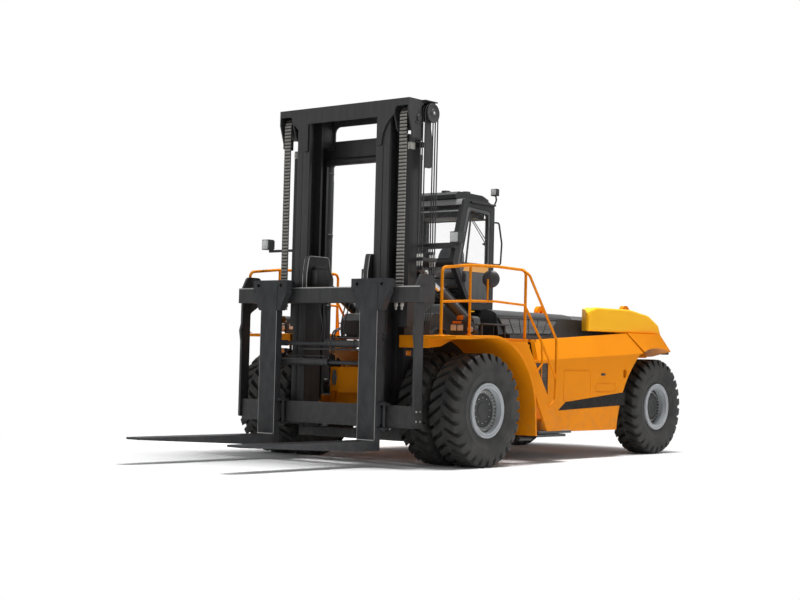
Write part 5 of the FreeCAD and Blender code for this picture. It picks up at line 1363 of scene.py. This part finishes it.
def padded(name, size, centre, lean, channels, crown=0.0):
    """Stuffed cushion with sewn channels across it, leaning back by lean for each metre up.

    crown is the share of its width that it loses at its top, in a round.
    """
    swell = 0.010
    groove = 0.007            # depth and half width of a sewn channel
    half = [value / 2.0 - swell for value in size]
    bm = bmesh.new()
    add_box(bm, (-half[0], half[0]), (-half[1], half[1]), (-half[2], half[2]), 0.030)
    obj = mesh_object(name, bm)
    remesh = obj.modifiers.new("even", 'REMESH')
    remesh.mode = 'VOXEL'
    remesh.voxel_size = 0.009
    even = evaluated(obj)
    obj.modifiers.remove(remesh)
    obj.data = even
    inflate(obj, swell)
    normals = [v.normal.copy() for v in obj.data.vertices]
    for vertex, normal in zip(obj.data.vertices, normals):
        depth = 0.0
        for axis, place in channels:
            depth += groove * math.exp(-((vertex.co[axis] - place) / groove) ** 2)
        vertex.co -= normal * depth
    for vertex in obj.data.vertices:
        vertex.co.y *= 1.0 - crown * max(0.0, vertex.co.z / half[2]) ** 3
        vertex.co.x -= lean * vertex.co.z
        vertex.co += Vector(centre)
    finish_piece(obj, "cloth", "chassis", smooth=180.0)
    return obj


class FORKLIFT_OT_seat(bpy.types.Operator):
    """Make the driver's seat: cushions, bellows, frame and armrests."""
    bl_idname = "forklift.seat"
    bl_label = "Driver's seat"

    def execute(self, context):
        cushion = padded("seat_cushion", (0.440, 0.520, 0.130), (-1.630, 0.0, 2.770), 0.0,
                         ((1, -0.15), (1, 0.15), (0, -0.02)))
        padded("seat_backrest", (0.115, 0.540, 0.520), (-1.815, 0.0, 3.112), 0.10,
               ((1, -0.15), (1, 0.15), (2, -0.02)), 0.34)
        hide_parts("seat")
        bm = bmesh.new()
        for fold in range(7):
            low = 2.402 + 0.036 * fold
            wide = 0.186 if fold % 2 else 0.165
            add_box(bm, about(-1.640, wide * 0.74), (-wide, wide), (low, low + 0.036), 0.010)
        add_box(bm, (-1.840, -1.430), (-0.235, 0.235), (2.652, 2.706), 0.014)
        piece("seat_bellows", bm, "foot")
        bm = bmesh.new()
        for y in (0.295, -0.295):
            add_box(bm, (-1.825, -1.485), about(y, 0.035), (2.985, 3.032), 0.016)
            add_tube(bm, [(-1.810, y * 0.93, 2.70), (-1.830, y * 0.93, 3.01)], 0.014, 10)
        add_box(bm, (-1.893, -1.868), (-0.20, 0.20), (2.86, 3.24), 0.010)
        piece("seat_arms", bm, "plastic")
        return {'FINISHED'}


# ---- tilt cylinders --------------------------------------------------------
def tilt_spot(distance, up=0.0):
    """Point on the left tilt cylinder's line, counted from its foot pin."""
    across = Vector((-TILT_LINE.z, 0.0, TILT_LINE.x))
    return TILT_FOOT + TILT_LINE * distance + across * up


class FORKLIFT_OT_cylinders(bpy.types.Operator):
    """Make the glands, caps and pipes of the tilt cylinders and the pins of their eyes."""
    bl_idname = "forklift.cylinders"
    bl_label = "Tilt cylinders"

    def execute(self, context):
        for side, sign in SIDES:
            bm = bmesh.new()
            for low, high, inner, radius in ((0.955, 0.998, 0.0500, 0.088),
                                             (0.168, 0.205, 0.0330, 0.086),
                                             (0.560, 0.585, 0.0770, 0.083)):
                add_collar(bm, TILT_FOOT, TILT_LINE, inner, radius, low, high, 0.006, 0.006)
            add_tube(bm, [tilt_spot(0.25, 0.070), tilt_spot(0.25, 0.105), tilt_spot(0.30, 0.110),
                          tilt_spot(0.90, 0.110), tilt_spot(0.94, 0.075)], 0.010, 10, 0.02)
            add_box(bm, (-0.875, -0.825), (1.005, 1.055), (2.255, 2.285), 0.004)
            for vertex in bm.verts:
                vertex.co.y *= sign
            piece("tilt_gland_" + side, bm, "graphite", "tilt_barrel_" + side)
        bm = bmesh.new()
        add_cap(bm, (TILT_FOOT.x, 1.104, TILT_FOOT.z), (0, 1, 0), (0.046, 0.008), (0.036, 0.014), 24)
        for x in (-1.17, -0.95):
            for y in (0.97, 1.09):
                hexagon_head(bm, (x, y, 1.910), (0, 0, 1), 0.014, 0.012)
        piece("tilt_foot_bolts", bm, "zinc", both=True)
        bm = bmesh.new()
        for shift in (0.0, 0.045):
            add_tube(bm, [(-0.50, 0.905 + shift, 1.90), (-0.50, 0.905 + shift, 1.98),
                          (-0.30, 0.915 + shift, 2.02), (-0.10, 0.94 + shift, 1.95),
                          (-0.09, 0.95 + shift, 1.80), (-0.11, 0.96 + shift, 1.60)],
                     0.014, 10, 0.08)
        piece("mast_supply_hoses", bm, "hose", both=True)
        return {'FINISHED'}


# ---- studio ----------------------------------------------------------------
AIM = Vector((0.0, 0.0, 1.8))              # where the lights point, metres
CAMERA_PLACE = (19.174, 15.085, 1.496)     # metres
CAMERA_YAW = 0.6865                        # radians, from +X towards +Y
CAMERA_PITCH = 0.0402                      # radians, upwards
CAMERA_ROLL = 0.0250                       # radians


class FORKLIFT_OT_stage(bpy.types.Operator):
    """Make the floor, the lights, the world and the camera."""
    bl_idname = "forklift.stage"
    bl_label = "Studio"

    def execute(self, context):
        scene = context.scene
        given = scene.forklift_studio
        bm = bmesh.new()
        bmesh.ops.create_grid(bm, x_segments=2, y_segments=2, size=60.0)
        floor = mesh_object("floor", bm)
        floor.data.materials.append(floor_material())
        for name, spot, power, size in (
                ("key_light", (-1.0, 2.0, 15.0), given.key_power, 6.0),
                ("side_light", (-5.0, 17.0, 7.0), given.fill_power, 9.0),
                ("front_light", (16.0, -5.0, 7.0), given.fill_power, 8.0)):
            data = bpy.data.lights.new(name, 'AREA')
            data.energy = power
            data.size = size
            lamp = bpy.data.objects.new(name, data)
            lamp.location = spot
            aim = AIM - Vector(spot)
            lamp.rotation_euler = aim.to_track_quat('-Z', 'Y').to_euler()
            scene.collection.objects.link(lamp)
        scene.world = studio_world()
        scene.view_settings.view_transform = 'Standard'
        camera_data = bpy.data.cameras.new("camera")
        camera_data.lens = given.lens
        camera_data.sensor_width = 36.0
        camera_data.clip_end = 300.0
        camera = bpy.data.objects.new("camera", camera_data)
        level = math.cos(CAMERA_PITCH)
        ahead = Vector((-math.cos(CAMERA_YAW) * level, -math.sin(CAMERA_YAW) * level,
                        math.sin(CAMERA_PITCH)))
        right = ahead.cross(Vector((0, 0, 1))).normalized()
        up = right.cross(ahead)
        turned = math.cos(CAMERA_ROLL) * right + math.sin(CAMERA_ROLL) * up
        risen = math.cos(CAMERA_ROLL) * up - math.sin(CAMERA_ROLL) * right
        turn = Matrix((turned, risen, -ahead)).transposed()
        camera.matrix_world = Matrix.Translation(CAMERA_PLACE) @ turn.to_4x4()
        scene.collection.objects.link(camera)
        scene.camera = camera
        return {'FINISHED'}


def floor_material():
    """Pale seamless studio floor that runs out into plain white away from the truck."""
    material, tree, place = new_material("pale_studio_vinyl")
    cloud = add(tree, "ShaderNodeTexNoise", {"Vector": place, "Scale": 0.4})
    tone = add(tree, "ShaderNodeValToRGB", {"Fac": cloud},
               ((0.0, linear("#FAFAFA")), (1.0, linear("#FFFFFF"))))
    shader = add(tree, "ShaderNodeBsdfPrincipled", {"Base Color": tone, "Roughness": 0.9})
    reach = add(tree, "ShaderNodeVectorMath", {0: place}, operation='LENGTH').outputs["Value"]
    far = add(tree, "ShaderNodeMapRange", {"Value": reach, "From Min": 5.0, "From Max": 8.5})
    seen = add(tree, "ShaderNodeLightPath").outputs["Is Camera Ray"]
    share = add(tree, "ShaderNodeMath", {0: far, 1: seen}, operation='MULTIPLY')
    white = add(tree, "ShaderNodeEmission", {"Color": (1, 1, 1, 1), "Strength": 1.0})
    mixed = add(tree, "ShaderNodeMixShader", {0: share, 1: shader, 2: white})
    add(tree, "ShaderNodeOutputMaterial", {"Surface": mixed})
    return material


def studio_world():
    """Even pale light all round, and white where the camera or a reflection sees it."""
    world = bpy.data.worlds.new("studio")
    world.use_nodes = True
    tree = world.node_tree
    tree.nodes.clear()
    path = add(tree, "ShaderNodeLightPath").outputs
    clear = add(tree, "ShaderNodeMath", {0: path["Is Camera Ray"], 1: path["Is Transmission Ray"]},
                operation='MAXIMUM')
    seen = add(tree, "ShaderNodeMath", {0: clear, 1: path["Is Glossy Ray"]}, operation='MAXIMUM')
    even = add(tree, "ShaderNodeBackground", {"Color": linear("#F4F7FA"), "Strength": 0.24})
    white = add(tree, "ShaderNodeBackground", {"Color": (1, 1, 1, 1), "Strength": 1.0})
    mixed = add(tree, "ShaderNodeMixShader", {0: seen, 1: even, 2: white})
    add(tree, "ShaderNodeOutputWorld", {0: mixed})
    return world


OPERATORS = (FORKLIFT_OT_finishes, FORKLIFT_OT_tyres, FORKLIFT_OT_wheel_centres,
             FORKLIFT_OT_chains, FORKLIFT_OT_mast_fittings, FORKLIFT_OT_carriage_fittings,
             FORKLIFT_OT_fork_fittings, FORKLIFT_OT_body_trim, FORKLIFT_OT_access,
             FORKLIFT_OT_lamps, FORKLIFT_OT_cab_outside, FORKLIFT_OT_cab_inside,
             FORKLIFT_OT_seat, FORKLIFT_OT_cylinders, FORKLIFT_OT_stage)


class FORKLIFT_PT_panel(bpy.types.Panel):
    """Lists the steps in the sidebar."""
    bl_idname = "FORKLIFT_PT_panel"
    bl_label = "Heavy forklift"
    bl_space_type = 'VIEW_3D'
    bl_region_type = 'UI'
    bl_category = "Forklift"

    def draw(self, context):
        for group in (context.scene.forklift_finishes, context.scene.forklift_wheels,
                      context.scene.forklift_studio):
            for key in group.__annotations__:
                self.layout.prop(group, key)
        for operator in OPERATORS:
            self.layout.operator(operator.bl_idname)


GROUPS = {"forklift_finishes": FORKLIFT_PG_finishes, "forklift_wheels": FORKLIFT_PG_wheels,
          "forklift_studio": FORKLIFT_PG_studio}


def register():
    """Register the settings, the operators and the panel."""
    for name, group in GROUPS.items():
        bpy.utils.register_class(group)
        setattr(bpy.types.Scene, name, bpy.props.PointerProperty(type=group))
    for operator in OPERATORS:
        bpy.utils.register_class(operator)
    bpy.utils.register_class(FORKLIFT_PT_panel)


def unregister():
    """Take the panel, the operators and the settings out again."""
    bpy.utils.unregister_class(FORKLIFT_PT_panel)
    for operator in reversed(OPERATORS):
        bpy.utils.unregister_class(operator)
    for name, group in GROUPS.items():
        delattr(bpy.types.Scene, name)
        bpy.utils.unregister_class(group)


def main():
    """Dress the truck step by step."""
    register()
    for operator in OPERATORS:
        area, name = operator.bl_idname.split(".")
        getattr(getattr(bpy.ops, area), name)()


if __name__ == "__main__":
    main()
